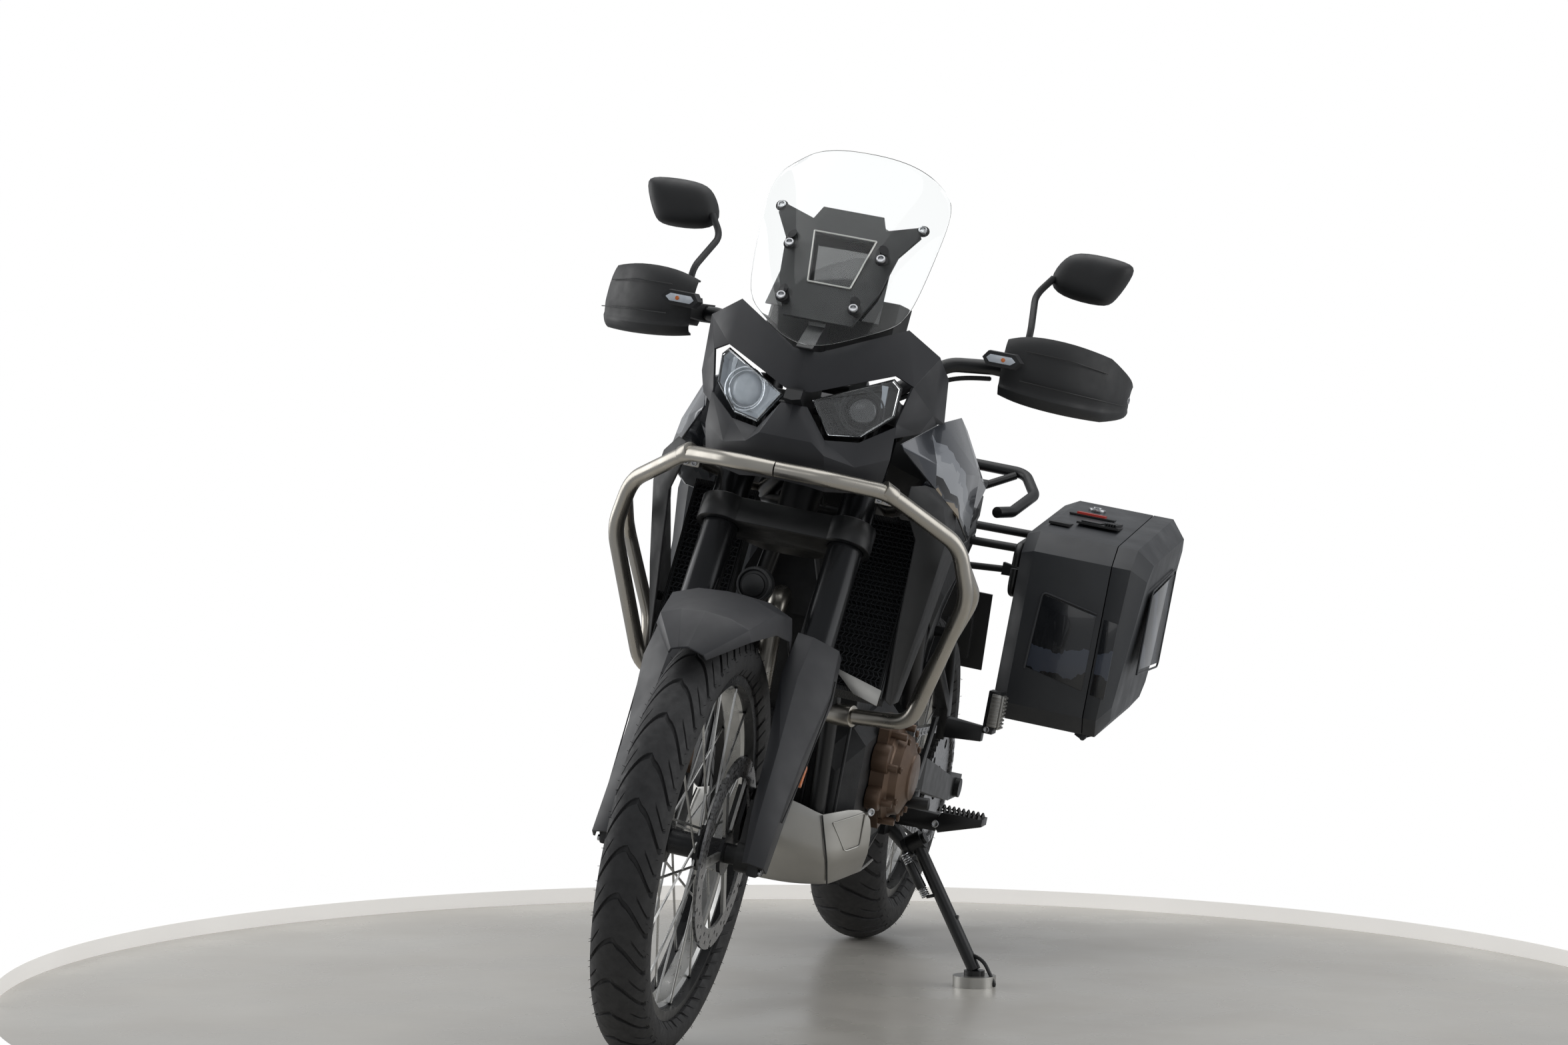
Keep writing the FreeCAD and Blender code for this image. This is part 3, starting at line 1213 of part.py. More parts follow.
def front_sprocket():
    wheel = sprocket(S.front_sprocket_radius, 16, 7, 13, 3)
    shaft = rod((-13.5, 0, 0), (12, 0, 0), 13.7)
    wheel = wheel.fuse(shaft)
    wheel.translate(V(S.chain_plane, S.front_sprocket_y, S.front_sprocket_z))
    return wheel


def rear_caliper():
    disc = -S.rear_disc_spread
    y, z = REAR_AXLE.y - 96, REAR_AXLE.z + 64
    body = prism([(disc - 18, y - 34, z - 20), (disc - 18, y + 30, z - 6), (disc - 18, y + 34, z + 30),
                  (disc - 18, y - 20, z + 34)], (36, 0, 0))
    slot = rod((disc - 4.5, REAR_AXLE.y, REAR_AXLE.z), (disc + 4.5, REAR_AXLE.y, REAR_AXLE.z),
               S.rear_disc_radius + 6)
    arm = rod((disc - 18, y - 20, z - 16), (disc - 21.7, y - 20, z - 16), 12)
    return body.cut(slot).fuse(arm)


def foot_controls():
    """Rider's foot pegs on their hangers, with heel plates."""
    hanger = prism([(138.3, 940, 330), (138.3, 1010, 330), (138.3, 1022, 400), (138.3, 960, 392),
                    (138.3, 936, 352)], (14, 0, 0))
    arm = loft([[(152, y, z) for y, z in ((944, 322), (974, 322), (974, 356), (944, 356))],
                [(228, y, z) for y, z in ((934, 326), (962, 326), (962, 356), (934, 356))]])
    peg = loft([[(x, 946 + y, z) for x, z in ((226, 340), (236, 326), (312, 352), (312, 366), (236, 362))]
                for y in (-26, 26)])
    heel = prism([(160, 1000, 400), (160, 1030, 400), (172, 1040, 520), (172, 1010, 520)], (6, 0, 0))
    link = box((150, 996, 380), (166.2, 1016, 414))
    return pair(hanger.multiFuse([arm, peg, heel, link]))


def pedals():
    """Gear lever on the left and brake pedal on the right."""
    gear = bent_tube([(176, 960, 380), (186, 900, 376), (190, 800, 384)], 7, 30)
    toe = rod((186, 800, 384), (232, 800, 388), 11)
    brake = mirrored(bent_tube([(176, 960, 380), (192, 900, 352), (204, 810, 352)], 7, 30))
    pad = mirrored(prism([(192, 790, 350), (192, 830, 350), (240, 830, 352), (240, 790, 352)], (0, 0, 12)))
    pivot = rod((152.3, 960, 380), (182, 960, 380), 11)
    return Part.makeCompound([gear.multiFuse([toe, pivot]), brake.multiFuse([pad, mirrored(pivot)])])


def passenger_hangers():
    """Forged triangles that carry the folded passenger pegs."""
    plane = 150
    outline = [(plane, 1090, 700), (plane, 1150, 640), (plane, 1218, 520), (plane, 1224, 470),
               (plane, 1196, 462), (plane, 1180, 520), (plane, 1040, 590), (plane, 1040, 612)]
    window = [(plane - 5, 1098, 660), (plane - 5, 1130, 630), (plane - 5, 1172, 548), (plane - 5, 1070, 604)]
    plate = prism(outline, (16, 0, 0)).cut(prism(window, (40, 0, 0)))
    reach = loft([[(166, y, z) for y, z in ((1190, 468), (1222, 470), (1222, 506), (1190, 504))],
                  [(236, y, z) for y, z in ((1190, 474), (1214, 474), (1214, 502), (1190, 502))]])
    bosses = [rod((129, 1100, 668), (plane + 2, 1100, 668), 10),
              rod((132.9, 1052, 604), (plane + 2, 1052, 604), 10)]
    return pair(plate.multiFuse([reach] + bosses))


def passenger_pegs():
    """Passenger pegs folded up, their treads outwards."""
    peg = loft([[(x, 1180 + y, z) for x, y in ((238, 0), (256, 0), (256, 44), (238, 44))]
                for z in (492, 500)])
    tread = loft([[(x, 1180 + y, z) for x, y in ((236.4, 2), (258, 2), (262, 42), (236.4, 42))]
                  for z in (500, 572)])
    return pair(peg.fuse(tread))


def pannier_carriers():
    """Black side frames between the rear frame and the boxes."""
    sides = []
    for side, depth in ((1, S.left_box_depth), (-1, S.right_box_depth)):
        x = S.pannier_split - depth - 8 - S.seat_gap
        loop = bent_tube([(side * x, 1330, 800), (side * x, 1330, 838), (side * x, 1740, 880),
                          (side * x, 1740, 770), (side * x, 1330, 748), (side * x, 1330, 796)], 8, 30)
        stays = [rod((side * 105, 1360, 831), (side * x, 1360, 834), 8),
                 rod((side * 92, 1460, 857), (side * x, 1500, 857), 8)]
        sides.append(loop.multiFuse(stays).cut(both_rear_tubes(S.seat_gap)))
    return Part.makeCompound(sides)


def pannier_outline(grow=0.0):
    """Chamfered box section seen from the side: (y, z), sloped with the pannier's top."""
    y0, z0 = S.pannier_front_y + grow, S.pannier_base_z + grow
    y1 = S.pannier_front_y + S.pannier_length - grow
    z1 = S.pannier_base_z + S.pannier_height - grow
    rise = S.pannier_length * 0.13
    cut = 34
    return [(y0, z0 + cut), (y0 + cut, z0), (y1 - cut, z0 + rise * 0.5), (y1, z0 + rise * 0.5 + cut),
            (y1, z1 + rise - cut), (y1 - cut, z1 + rise - 4), (y0 + cut, z1 + 4), (y0, z1 - cut)]


def hinge_point(share):
    """A point of the left lid's hinge line, share of its length from the front."""
    rise = S.pannier_length * 0.065
    run = S.pannier_length - 68
    return V(S.pannier_split + 1, S.pannier_front_y + 34 + run * share,
             S.pannier_base_z - S.hinge_drop + rise * share)


def hinge_barrels(side, spans):
    """Barrels on the hinge line with tabs to one side: -1 the box, 1 the lid."""
    shapes = []
    for start, end in spans:
        a, b = hinge_point(start), hinge_point(end)
        tab = loft([[(p.x + side * across, p.y, p.z + up) for across, up in ((1, -5), (16, 2), (16, 11), (4, 11))]
                    for p in (a, b)])
        shapes.append(tab.fuse(rod(a, b, S.hinge_barrel_radius)))
    return shapes


def pannier_box(depth):
    """Hollow left box, open at the parting line, with its half of the lid's hinge."""
    split, wall = S.pannier_split, S.pannier_wall
    inner = split - depth
    section = pannier_outline()
    inset = pannier_outline(wall)
    middle_y = S.pannier_front_y + S.pannier_length / 2
    middle_z = S.pannier_base_z + S.pannier_height / 2 + 30

    def drawn(points, x, share):
        return [(x, middle_y + (y - middle_y) * share, middle_z + (z - middle_z) * share) for y, z in points]

    outside = loft([drawn(section, inner, 0.93), drawn(section, inner + 26, 1.0), drawn(section, split, 1.0)])
    hollow = loft([drawn(inset, inner + wall, 0.93), drawn(inset, inner + 26, 1.0),
                   drawn(inset, split + 5, 1.0)])
    barrels = hinge_barrels(-1, ((0.04, 0.10), (0.90, 0.96)))
    room = [rod(hinge_point(start), hinge_point(end), S.hinge_barrel_radius + 1)
            for start, end in ((0.102, 0.16), (0.84, 0.898))]
    pins = [rod(hinge_point(start), hinge_point(end), S.hinge_pin_radius)
            for start, end in ((0.05, 0.158), (0.842, 0.95))]
    return outside.cut(hollow).multiFuse(barrels).cut(room).multiFuse(pins)


def pannier_lid():
    """Hollow left lid from the parting line outwards, bevelled at its face."""
    split, wall = S.pannier_split + 2, S.pannier_wall
    outer = split + S.lid_depth
    section = pannier_outline()
    inset = pannier_outline(wall)
    middle_y = S.pannier_front_y + S.pannier_length / 2
    middle_z = S.pannier_base_z + S.pannier_height / 2 + 30
    tilt = math.tan(math.radians(4))

    def drawn(points, x, share):
        placed = []
        for y, z in points:
            lean_in = (middle_z + 180 - z) * tilt * (x - split) / S.lid_depth
            placed.append((x - lean_in, middle_y + (y - middle_y) * share,
                           middle_z + (z - middle_z) * share))
        return placed

    outside = loft([drawn(section, split, 1.0), drawn(section, split + S.lid_depth * 0.55, 1.0),
                    drawn(section, outer, 0.84)])
    hollow = loft([drawn(inset, split - 5, 1.0), drawn(inset, split + S.lid_depth * 0.55, 1.0),
                   drawn(inset, outer - wall, 0.84)])
    barrels = hinge_barrels(1, ((0.102, 0.16), (0.84, 0.898)))
    bore = rod(hinge_point(0), hinge_point(1), S.hinge_pin_radius + S.bearing_gap)
    return outside.cut(hollow).multiFuse(barrels).cut(bore)


# Side stand: from its pivot under the left foot peg down to its foot, in the leant position
STAND_PIVOT = V(190, 985, 292)
STAND_FOLDED = V(0.12, 0.99, 0.02)
STAND_PAD = 9
# Middle of the plate under the foot, on the floor of the leant machine
PLATE_AT = V(356, 951, 0)


def stand_foot_point(lean):
    """Foot of the stand on the plate, in the bike frame, for the given stance."""
    return lean.inverse().multVec(PLATE_AT + Z * S.puck_height)


def stand_leg(lean):
    """Ankle of the stand, the pivot's direction and the angle that folds the leg up to the rear."""
    up = lean.inverse().Rotation.multVec(Z)
    ankle = stand_foot_point(lean) + up * STAND_PAD
    run = (ankle - STAND_PIVOT).normalize()
    folded = V(*STAND_FOLDED).normalize()
    return ankle, run.cross(folded).normalize(), math.degrees(run.getAngle(folded))


def side_stand(lean):
    foot = stand_foot_point(lean)
    ankle, pin, _ = stand_leg(lean)
    eye = rod(STAND_PIVOT - pin * 14, STAND_PIVOT + pin * 14, S.stand_knuckle_radius)
    leg = rod(STAND_PIVOT, ankle, 12)
    pad = rod(foot, ankle, 19)
    bore = rod(STAND_PIVOT - pin * 40, STAND_PIVOT + pin * 40, S.stand_pin_radius + S.bearing_gap)
    return eye.multiFuse([leg, pad]).cut(bore)


def stand_bracket():
    """Cheek, pin and arm that hold the stand to the left pivot plate."""
    pin = stand_leg(STANCE)[1]
    inner = STAND_PIVOT - pin * (14 + S.seat_gap)
    cheek = rod(inner - pin * 9, inner, 21)
    arm = rod(inner - pin * 4, (134, 985, 312), 14).cut(rod(inner, inner + pin * 90, 60))
    shank = rod(inner - pin * 5, STAND_PIVOT + pin * 19, S.stand_pin_radius)
    head = rod(STAND_PIVOT + pin * (14 + S.seat_gap), STAND_PIVOT + pin * 20, 10)
    return cheek.multiFuse([arm, shank, head])


def stand_plate_body():
    """Round aluminium plate under the stand's foot, flat on the floor."""
    body = doc.addObject("PartDesign::Body", "stand_plate")
    plane = next(f for f in body.Origin.OriginFeatures if f.Role == "XY_Plane")
    sketch = body.newObject("Sketcher::SketchObject", "plate_circle")
    sketch.AttachmentSupport = (plane, "")
    sketch.MapMode = "FlatFace"
    circle = sketch.addGeometry(Part.Circle(ORIGIN, Z, S.puck_radius))
    sketch.addConstraint(Sketcher.Constraint("Coincident", circle, 3, -1, 1))
    rule = sketch.addConstraint(Sketcher.Constraint("Radius", circle, S.puck_radius))
    sketch.renameConstraint(rule, "rim")
    sketch.setExpression("Constraints.rim", "Sizes.puck_radius")
    pad = body.newObject("PartDesign::Pad", "plate_pad")
    pad.Profile = sketch
    pad.setExpression("Length", "Sizes.puck_height")
    doc.recompute()
    return body


def feature(label, shape):
    piece = doc.addObject("Part::Feature", label)
    piece.Label = label
    piece.Shape = shape
    return piece


def wheel_disc(label, radius, band, across, frame, lobes, holes):
    body = disc_body(label, radius, band, lobes, holes)
    return body, frame.multiply(FreeCAD.Placement(V(across, 0, 0), FreeCAD.Rotation(Y, 90)))


def group(*shapes):
    return Part.makeCompound(list(shapes))


# Pieces drawn in code: node, shape, frame that it is drawn in
DRAWN = (
    ("front_tyre", tyre(S.front_tyre_width, S.front_tyre_radius, S.front_crown_radius, S.front_bead_radius,
                        S.front_rim_width), FRONT_WHEEL),
    ("front_wire_wheel", front_wire_wheel(), FRONT_WHEEL),
    ("rear_tyre", tyre(S.rear_tyre_width, S.rear_tyre_radius, S.rear_crown_radius, S.rear_bead_radius,
                       S.rear_rim_width), REAR_WHEEL),
    ("rear_wire_wheel", rear_wire_wheel(), REAR_WHEEL),
    ("rear_sprocket", rear_sprocket(), REAR_WHEEL),
    ("fork_tubes", fork_tubes(), FORK),
    ("fork_legs", group(fork_legs(), front_axle()), FORK),
    ("front_calipers", front_calipers(), FORK),
    ("triple_clamps", triple_clamps(), FORK),
    ("front_fender", front_fender(), BIKE),
    ("fork_guards", fork_guards(), BIKE),
    ("handlebar", handlebar(), BIKE),
    ("hand_controls", group(hand_controls(), hand_grips()), BIKE),
    ("handguards", handguards(), BIKE),
    ("mirrors", mirror_heads(), BIKE),
    ("front_indicators", pair(front_indicators()), BIKE),
    ("main_frame", main_frame(), BIKE),
    ("subframe", group(subframe(), pannier_carriers()), BIKE),
    ("engine_block", engine_block(), BIKE),
    ("engine_covers", group(engine_covers(), sprocket_cover()), BIKE),
    ("exhaust", exhaust(), BIKE),
    ("radiators", group(radiators(), radiator_guards()), BIKE),
    ("skid_plate", skid_plate(), BIKE),
    ("crash_bars", crash_bars(), BIKE),
    ("side_shrouds", side_shrouds(), BIKE),
    ("tank_side_panels", tank_side_panels(), BIKE),
    ("fuel_tank", fuel_tank(), BIKE),
    ("nose_cowl", nose_cowl(), BIKE),
    ("headlights", headlights(), BIKE),
    ("windscreen", windscreen(), BIKE),
    ("instrument_panel", group(instrument_panel(), screen_bracket()), BIKE),
    ("rider_seat", rider_seat(), BIKE),
    ("passenger_seat", passenger_seat(), BIKE),
    ("side_covers", side_covers(), BIKE),
    ("tail_unit", tail_unit(), BIKE),
    ("rear_light", rear_light(), BIKE),
    ("rear_rack", rear_rack(), BIKE),
    ("swingarm", group(swingarm().fuse(rear_hugger()), rear_axle(), rear_caliper()), BIKE),
    ("rear_shock", rear_shock(), BIKE),
    ("drive_chain", group(drive_chain(), front_sprocket()), BIKE),
    ("foot_controls", group(foot_controls(), pedals()), BIKE),
    ("passenger_hangers", passenger_hangers().fuse(passenger_pegs()), BIKE),
    ("pannier_box_left", pannier_box(S.left_box_depth), BIKE),
    ("pannier_box_right", mirrored(pannier_box(S.right_box_depth)), BIKE),
    ("pannier_lid_left", pannier_lid(), BIKE),
    ("pannier_lid_right", mirrored(pannier_lid()), BIKE),
    ("side_stand", side_stand(STANCE), BIKE),
)

placed = [(feature(label, shape), frame.multiply(shape.Placement)) for label, shape, frame in DRAWN]
for label, across in (("front_disc_left", S.front_disc_spread), ("front_disc_right", -S.front_disc_spread)):
    placed.append(wheel_disc(label, "front_disc_radius", "front_disc_band", across, FRONT_WHEEL, 12, 24))
placed.append(wheel_disc("rear_disc", "rear_disc_radius", "rear_disc_band", -S.rear_disc_spread,
                         REAR_WHEEL, 10, 20))
doc.recompute()

# The row's origin is on the floor under the middle of the leant machine
for piece, frame in placed:
    piece.Placement = STANCE.multiply(frame)
plate = stand_plate_body()
plate.Placement = FreeCAD.Placement(PLATE_AT, FreeCAD.Rotation())
everything = [piece for piece, _ in placed] + [plate]
points = []
for piece in everything:
    points += piece.Shape.tessellate(1.0)[0]
lows = [min(p[axis] for p in points) for axis in range(3)]
highs = [max(p[axis] for p in points) for axis in range(3)]
shift = FreeCAD.Placement(V(-(lows[0] + highs[0]) / 2, -(lows[1] + highs[1]) / 2, 0), FreeCAD.Rotation())
for piece in everything:
    piece.Placement = shift.multiply(piece.Placement)
doc.recompute()

for piece in doc.Objects:
    if "Invalid" in piece.State or "Error" in piece.State:
        raise RuntimeError("%s failed: %s" % (piece.Label, piece.State))
for piece in everything:
    if piece.Shape.isNull() or not piece.Shape.isValid():
        raise RuntimeError("%s has no valid shape" % piece.Label)
for piece in everything:
    piece.Shape.exportStep("parts/%s.step" % piece.Label)

# Places of the joints and interfaces in the row, for the record
BIKE_TO_ROW = shift.multiply(STANCE)


def row_point(point):
    return [round(value / 1000, 5) for value in BIKE_TO_ROW.multVec(V(*point))]


def row_direction(direction):
    return [round(value, 5) for value in BIKE_TO_ROW.Rotation.multVec(V(*direction)).normalize()]


stand_ankle, stand_pin, stand_fold = stand_leg(STANCE)
hinge_front, hinge_rear = hinge_point(0), hinge_point(1)
places = {
    "low": lows, "high": highs, "shift": list(shift.Base),
    "front_axle": row_point(from_fork(0, -S.fork_offset, 0)),
    "rear_axle": row_point(REAR_AXLE),
    "across": row_direction(X),
    "bike_up": row_direction(Z),
    "steering": row_point(from_fork(0, 0, HEAD_LOW)),
    "steering_axis": row_direction(V(*from_fork(0, 0, 1)) - V(*from_fork(0, 0, 0))),
    "stand": row_point(STAND_PIVOT),
    "stand_axis": row_direction(stand_pin),
    "stand_fold": round(stand_fold, 3),
    "lid_left": row_point((hinge_front + hinge_rear) / 2),
    "lid_left_axis": row_direction(hinge_rear - hinge_front),
    "lid_right": row_point(mirrored(Part.Vertex((hinge_front + hinge_rear) / 2)).Point),
    "lid_right_axis": row_direction(mirrored(Part.Vertex(hinge_rear - hinge_front)).Point),
    "rack_bolts": row_point((0, S.rack_middle_y, S.rack_top - 5)),
    "rack_top": row_point((0, S.rack_middle_y + 25, S.rack_top)),
    "plate_face": row_point((75, S.wheelbase + S.plate_reach + 24, 621.2)),
    "plate_out": row_direction((0, 160, 38)),
    "case_left": row_point((325, 1540, 706)),
    "case_right": row_point((-338, 1540, 706)),
}
for name, value in places.items():
    print("place", name, value)
print("pieces", len(everything))
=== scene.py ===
import json
import math

import bmesh
import bpy
from mathutils import Matrix, Vector

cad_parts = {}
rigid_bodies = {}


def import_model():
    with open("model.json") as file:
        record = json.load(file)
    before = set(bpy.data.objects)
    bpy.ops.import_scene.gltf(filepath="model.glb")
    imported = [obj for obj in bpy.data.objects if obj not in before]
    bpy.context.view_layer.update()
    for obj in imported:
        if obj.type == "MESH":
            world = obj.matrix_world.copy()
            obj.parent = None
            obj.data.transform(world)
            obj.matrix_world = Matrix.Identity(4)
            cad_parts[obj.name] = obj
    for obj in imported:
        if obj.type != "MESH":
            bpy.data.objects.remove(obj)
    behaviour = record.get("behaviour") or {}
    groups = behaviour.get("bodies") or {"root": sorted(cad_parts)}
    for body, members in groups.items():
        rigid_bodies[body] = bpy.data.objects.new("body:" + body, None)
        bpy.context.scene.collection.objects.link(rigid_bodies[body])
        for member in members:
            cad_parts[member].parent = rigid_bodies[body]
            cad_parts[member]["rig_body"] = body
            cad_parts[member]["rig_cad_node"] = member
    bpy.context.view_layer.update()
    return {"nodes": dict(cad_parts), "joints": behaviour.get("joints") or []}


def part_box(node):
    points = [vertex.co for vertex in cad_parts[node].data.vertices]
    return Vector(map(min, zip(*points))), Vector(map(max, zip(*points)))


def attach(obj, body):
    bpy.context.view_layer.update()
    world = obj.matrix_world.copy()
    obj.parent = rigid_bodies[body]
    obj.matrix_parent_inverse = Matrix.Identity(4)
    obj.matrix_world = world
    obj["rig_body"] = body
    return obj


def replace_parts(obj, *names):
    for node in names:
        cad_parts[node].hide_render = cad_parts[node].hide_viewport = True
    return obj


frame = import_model()

# Places are in the bike's own frame, in millimetres, as the bike stands upright: x to its left,
# y rearwards from the front axle, z up. The wheel joints give that frame's place in the row.
MM = 0.001
FRONT_AXLE_Z = 347.5
REAR_AXLE_Z = 333.0
WHEELBASE = 1575.0


def joint(name):
    return next(j for j in frame["joints"] if j["name"] == name)


def bike_frame():
    front, rear = Vector(joint("front_wheel_spin")["pos_m"]), Vector(joint("rear_wheel_spin")["pos_m"])
    across = Vector(joint("front_wheel_spin")["axis"]).normalized()
    run = (rear - front).normalized()
    above = across.cross(run)
    droop = math.atan2(FRONT_AXLE_Z - REAR_AXLE_Z, WHEELBASE)
    back = run * math.cos(droop) + above * math.sin(droop)
    up = across.cross(back)
    turn = Matrix((across, back, up)).transposed().to_4x4()
    return Matrix.Translation(front - up * FRONT_AXLE_Z * MM) @ turn


BIKE = bike_frame()


# Finishes

def linear(code):
    """sRGB hex to the shader's linear colour."""
    parts = [int(code[k:k + 2], 16) / 255 for k in (1, 3, 5)]
    return [c / 12.92 if c <= 0.04045 else ((c + 0.055) / 1.055) ** 2.4 for c in parts] + [1.0]


def add(tree, kind, inputs=(), **settings):
    """A node with its settings; inputs gives a value or another node's output for each socket."""
    made = tree.nodes.new(kind)
    for name, value in settings.items():
        setattr(made, name, value)
    for name, value in dict(inputs).items():
        if isinstance(value, bpy.types.NodeSocket):
            tree.links.new(value, made.inputs[name])
        else:
            made.inputs[name].default_value = value
    return made


class Finish:
    """A material whose colour, roughness and relief vary over the surface."""

    def __init__(self, name, colour, roughness, **sockets):
        self.material = bpy.data.materials.new(name)
        self.material.use_nodes = True
        self.tree = self.material.node_tree
        self.shader = self.tree.nodes["Principled BSDF"]
        self.place = add(self.tree, "ShaderNodeTexCoord").outputs["Object"]
        self.shader.inputs["Base Color"].default_value = linear(colour)
        self.shader.inputs["Roughness"].default_value = roughness
        for name, value in sockets.items():
            self.shader.inputs[name.replace("_", " ")].default_value = value
        self.colour, self.relief = linear(colour), None

    def noise(self, size_mm, detail=4.0, stretch=(1, 1, 1)):
        mapped = add(self.tree, "ShaderNodeMapping", {"Vector": self.place, "Scale": stretch})
        return add(self.tree, "ShaderNodeTexNoise", {"Vector": mapped.outputs[0], "Scale": 1 / (size_mm * MM),
                                                     "Detail": detail}).outputs["Fac"]

    def mix(self, share, first, second):
        made = add(self.tree, "ShaderNodeMix", {0: share, 6: first, 7: second}, data_type="RGBA")
        return made.outputs[2]

    def between(self, value, low, high, start=0.3, end=0.7):
        made = add(self.tree, "ShaderNodeMapRange", {"Value": value, "From Min": start, "From Max": end,
                                                     "To Min": low, "To Max": high})
        return made.outputs["Result"]

    def maths(self, operation, *values):
        return add(self.tree, "ShaderNodeMath", dict(enumerate(values)), operation=operation).outputs[0]

    def paint(self, colour):
        self.tree.links.new(colour, self.shader.inputs["Base Color"])
        return self

    def mottle(self, other, size_mm, most):
        """Cloudy drift towards another colour, up to a share of it."""
        share = self.between(self.noise(size_mm), 0.0, most)
        return self.paint(self.mix(share, self.colour, linear(other)))

    def scuff(self, low, high, size_mm, **shape):
        """Roughness that drifts, as handling and moulding leave it."""
        drift = self.between(self.noise(size_mm, **shape), low, high)
        self.tree.links.new(drift, self.shader.inputs["Roughness"])
        return self

    def bump(self, height, depth_mm):
        inputs = {"Height": height, "Distance": depth_mm * MM, "Strength": 1.0}
        if self.relief:
            inputs["Normal"] = self.relief
        self.relief = add(self.tree, "ShaderNodeBump", inputs).outputs["Normal"]
        self.tree.links.new(self.relief, self.shader.inputs["Normal"])
        return self

    def grain(self, size_mm, depth_mm, **shape):
        return self.bump(self.noise(size_mm, **shape), depth_mm)

    def bike_place(self):
        """Coordinates of the upright bike in metres, separated."""
        inverse = BIKE.inverted()
        mapped = add(self.tree, "ShaderNodeMapping",
                     {"Vector": self.place, "Location": inverse.translation, "Rotation": inverse.to_euler()})
        return add(self.tree, "ShaderNodeSeparateXYZ", {"Vector": mapped.outputs[0]}).outputs

    def cells(self, size_mm, **settings):
        """Distance to the middle of scattered cells of about this size."""
        return add(self.tree, "ShaderNodeTexVoronoi", {"Vector": self.place, "Scale": 1 / (size_mm * MM)},
                   **settings).outputs["Distance"]


def seat_vinyl():
    # Pressed vinyl seat cover with a leather grain
    finish = Finish("grained_seat_vinyl", "#1C1D1F", 0.5)
    grain = finish.cells(2.6)
    return finish.mottle("#26272A", 60, 0.7).scuff(0.42, 0.58, 25).bump(grain, 0.18)


def amber_lens():
    # Moulded amber acrylic with prisms 4 mm across
    finish = Finish("amber_moulded_acrylic", "#D8711E", 0.2, Coat_Weight=0.4)
    prisms = finish.cells(4.0)
    return finish.mottle("#B85A12", 6, 0.7).bump(prisms, 0.4)


def radiator_fins():
    # Folded radiator fins, drawn 3 mm apart so that they show
    finish = Finish("folded_radiator_fins", "#121314", 0.6)
    x = finish.bike_place()["X"]
    ripple = finish.maths("SINE", finish.maths("MULTIPLY", x, 2 * math.pi / (3.0 * MM)))
    # Lighter on the crests and darker in the troughs: painted light and shade of the folds, over the bump
    painted_crest_light = finish.between(ripple, 0.0, 1.0, -0.4, 0.6)
    finish.paint(finish.mix(painted_crest_light, linear("#0B0B0C"), linear("#242628")))
    return finish.bump(ripple, 0.5)


def spoked(axle_z, axle_y, hub, rim):
    # Powder-coated hub and rim, bright steel spokes between these two radii
    finish = Finish("powder_coated_rim_%d" % round(rim), "#17181A", 0.32)
    _, y, z = finish.bike_place()
    dy = finish.maths("SUBTRACT", y, axle_y * MM)
    dz = finish.maths("SUBTRACT", z, axle_z * MM)
    reach = finish.maths("SQRT", finish.maths("ADD", finish.maths("MULTIPLY", dy, dy),
                                              finish.maths("MULTIPLY", dz, dz)))
    wire = finish.maths("MULTIPLY", finish.maths("GREATER_THAN", reach, hub * MM),
                        finish.maths("LESS_THAN", reach, rim * MM))
    finish.paint(finish.mix(wire, linear("#191A1C"), linear("#C4C4C2")))
    finish.tree.links.new(wire, finish.shader.inputs["Metallic"])
    finish.tree.links.new(finish.between(finish.noise(20), 0.24, 0.38), finish.shader.inputs["Roughness"])
    return finish.grain(2.5, 0.04)


def shard_panel():
    # Gunmetal lacquer with slanting shards of pale grey, black and sand towards the rear
    finish = Finish("gunmetal_lacquer", "#4A4D53", 0.22, Coat_Weight=0.6, Metallic=0.35)
    _, y, z = finish.bike_place()
    slant = finish.maths("ADD", finish.maths("MULTIPLY", y, 0.55), z)
    ragged = finish.maths("MULTIPLY", finish.cells(46, distance="CHEBYCHEV"), 0.05)
    torn = finish.maths("ADD", slant, ragged)
    colour = finish.mix(finish.between(finish.noise(80), 0.0, 0.8), linear("#4A4D53"), linear("#3E4147"))
    # The bands lie behind this distance from the front axle, in metres
    rear = finish.maths("GREATER_THAN", y, 0.36)
    # Bands along the slant, in metres of it: start, end, colour
    for start, end, code in ((1.238, 1.262, "#8C9096"), (1.200, 1.238, "#A6A9AD"), (1.176, 1.200, "#121315"),
                             (1.150, 1.172, "#9B8D78"), (1.118, 1.130, "#121315")):
        inside = finish.maths("MULTIPLY", finish.maths("GREATER_THAN", torn, start),
                              finish.maths("LESS_THAN", torn, end))
        colour = finish.mix(finish.maths("MULTIPLY", inside, rear), colour, linear(code))
    return finish.paint(colour).scuff(0.16, 0.28, 80)


def case_inlay():
    # Dark glossy inlay with broad slanting bands of slate blue
    finish = Finish("glossy_case_inlay", "#17191C", 0.2, Coat_Weight=0.5)
    _, y, z = finish.bike_place()
    slant = finish.maths("ADD", finish.maths("MULTIPLY", y, 0.8), z)
    wavy = finish.maths("ADD", slant, finish.maths("MULTIPLY", finish.noise(60), 0.09))
    band = finish.maths("GREATER_THAN", finish.maths("SINE", finish.maths("MULTIPLY", wavy, 48.0)), 0.5)
    colour = finish.mix(band, linear("#17191C"), linear("#3C414B"))
    return finish.paint(colour).scuff(0.16, 0.26, 60)


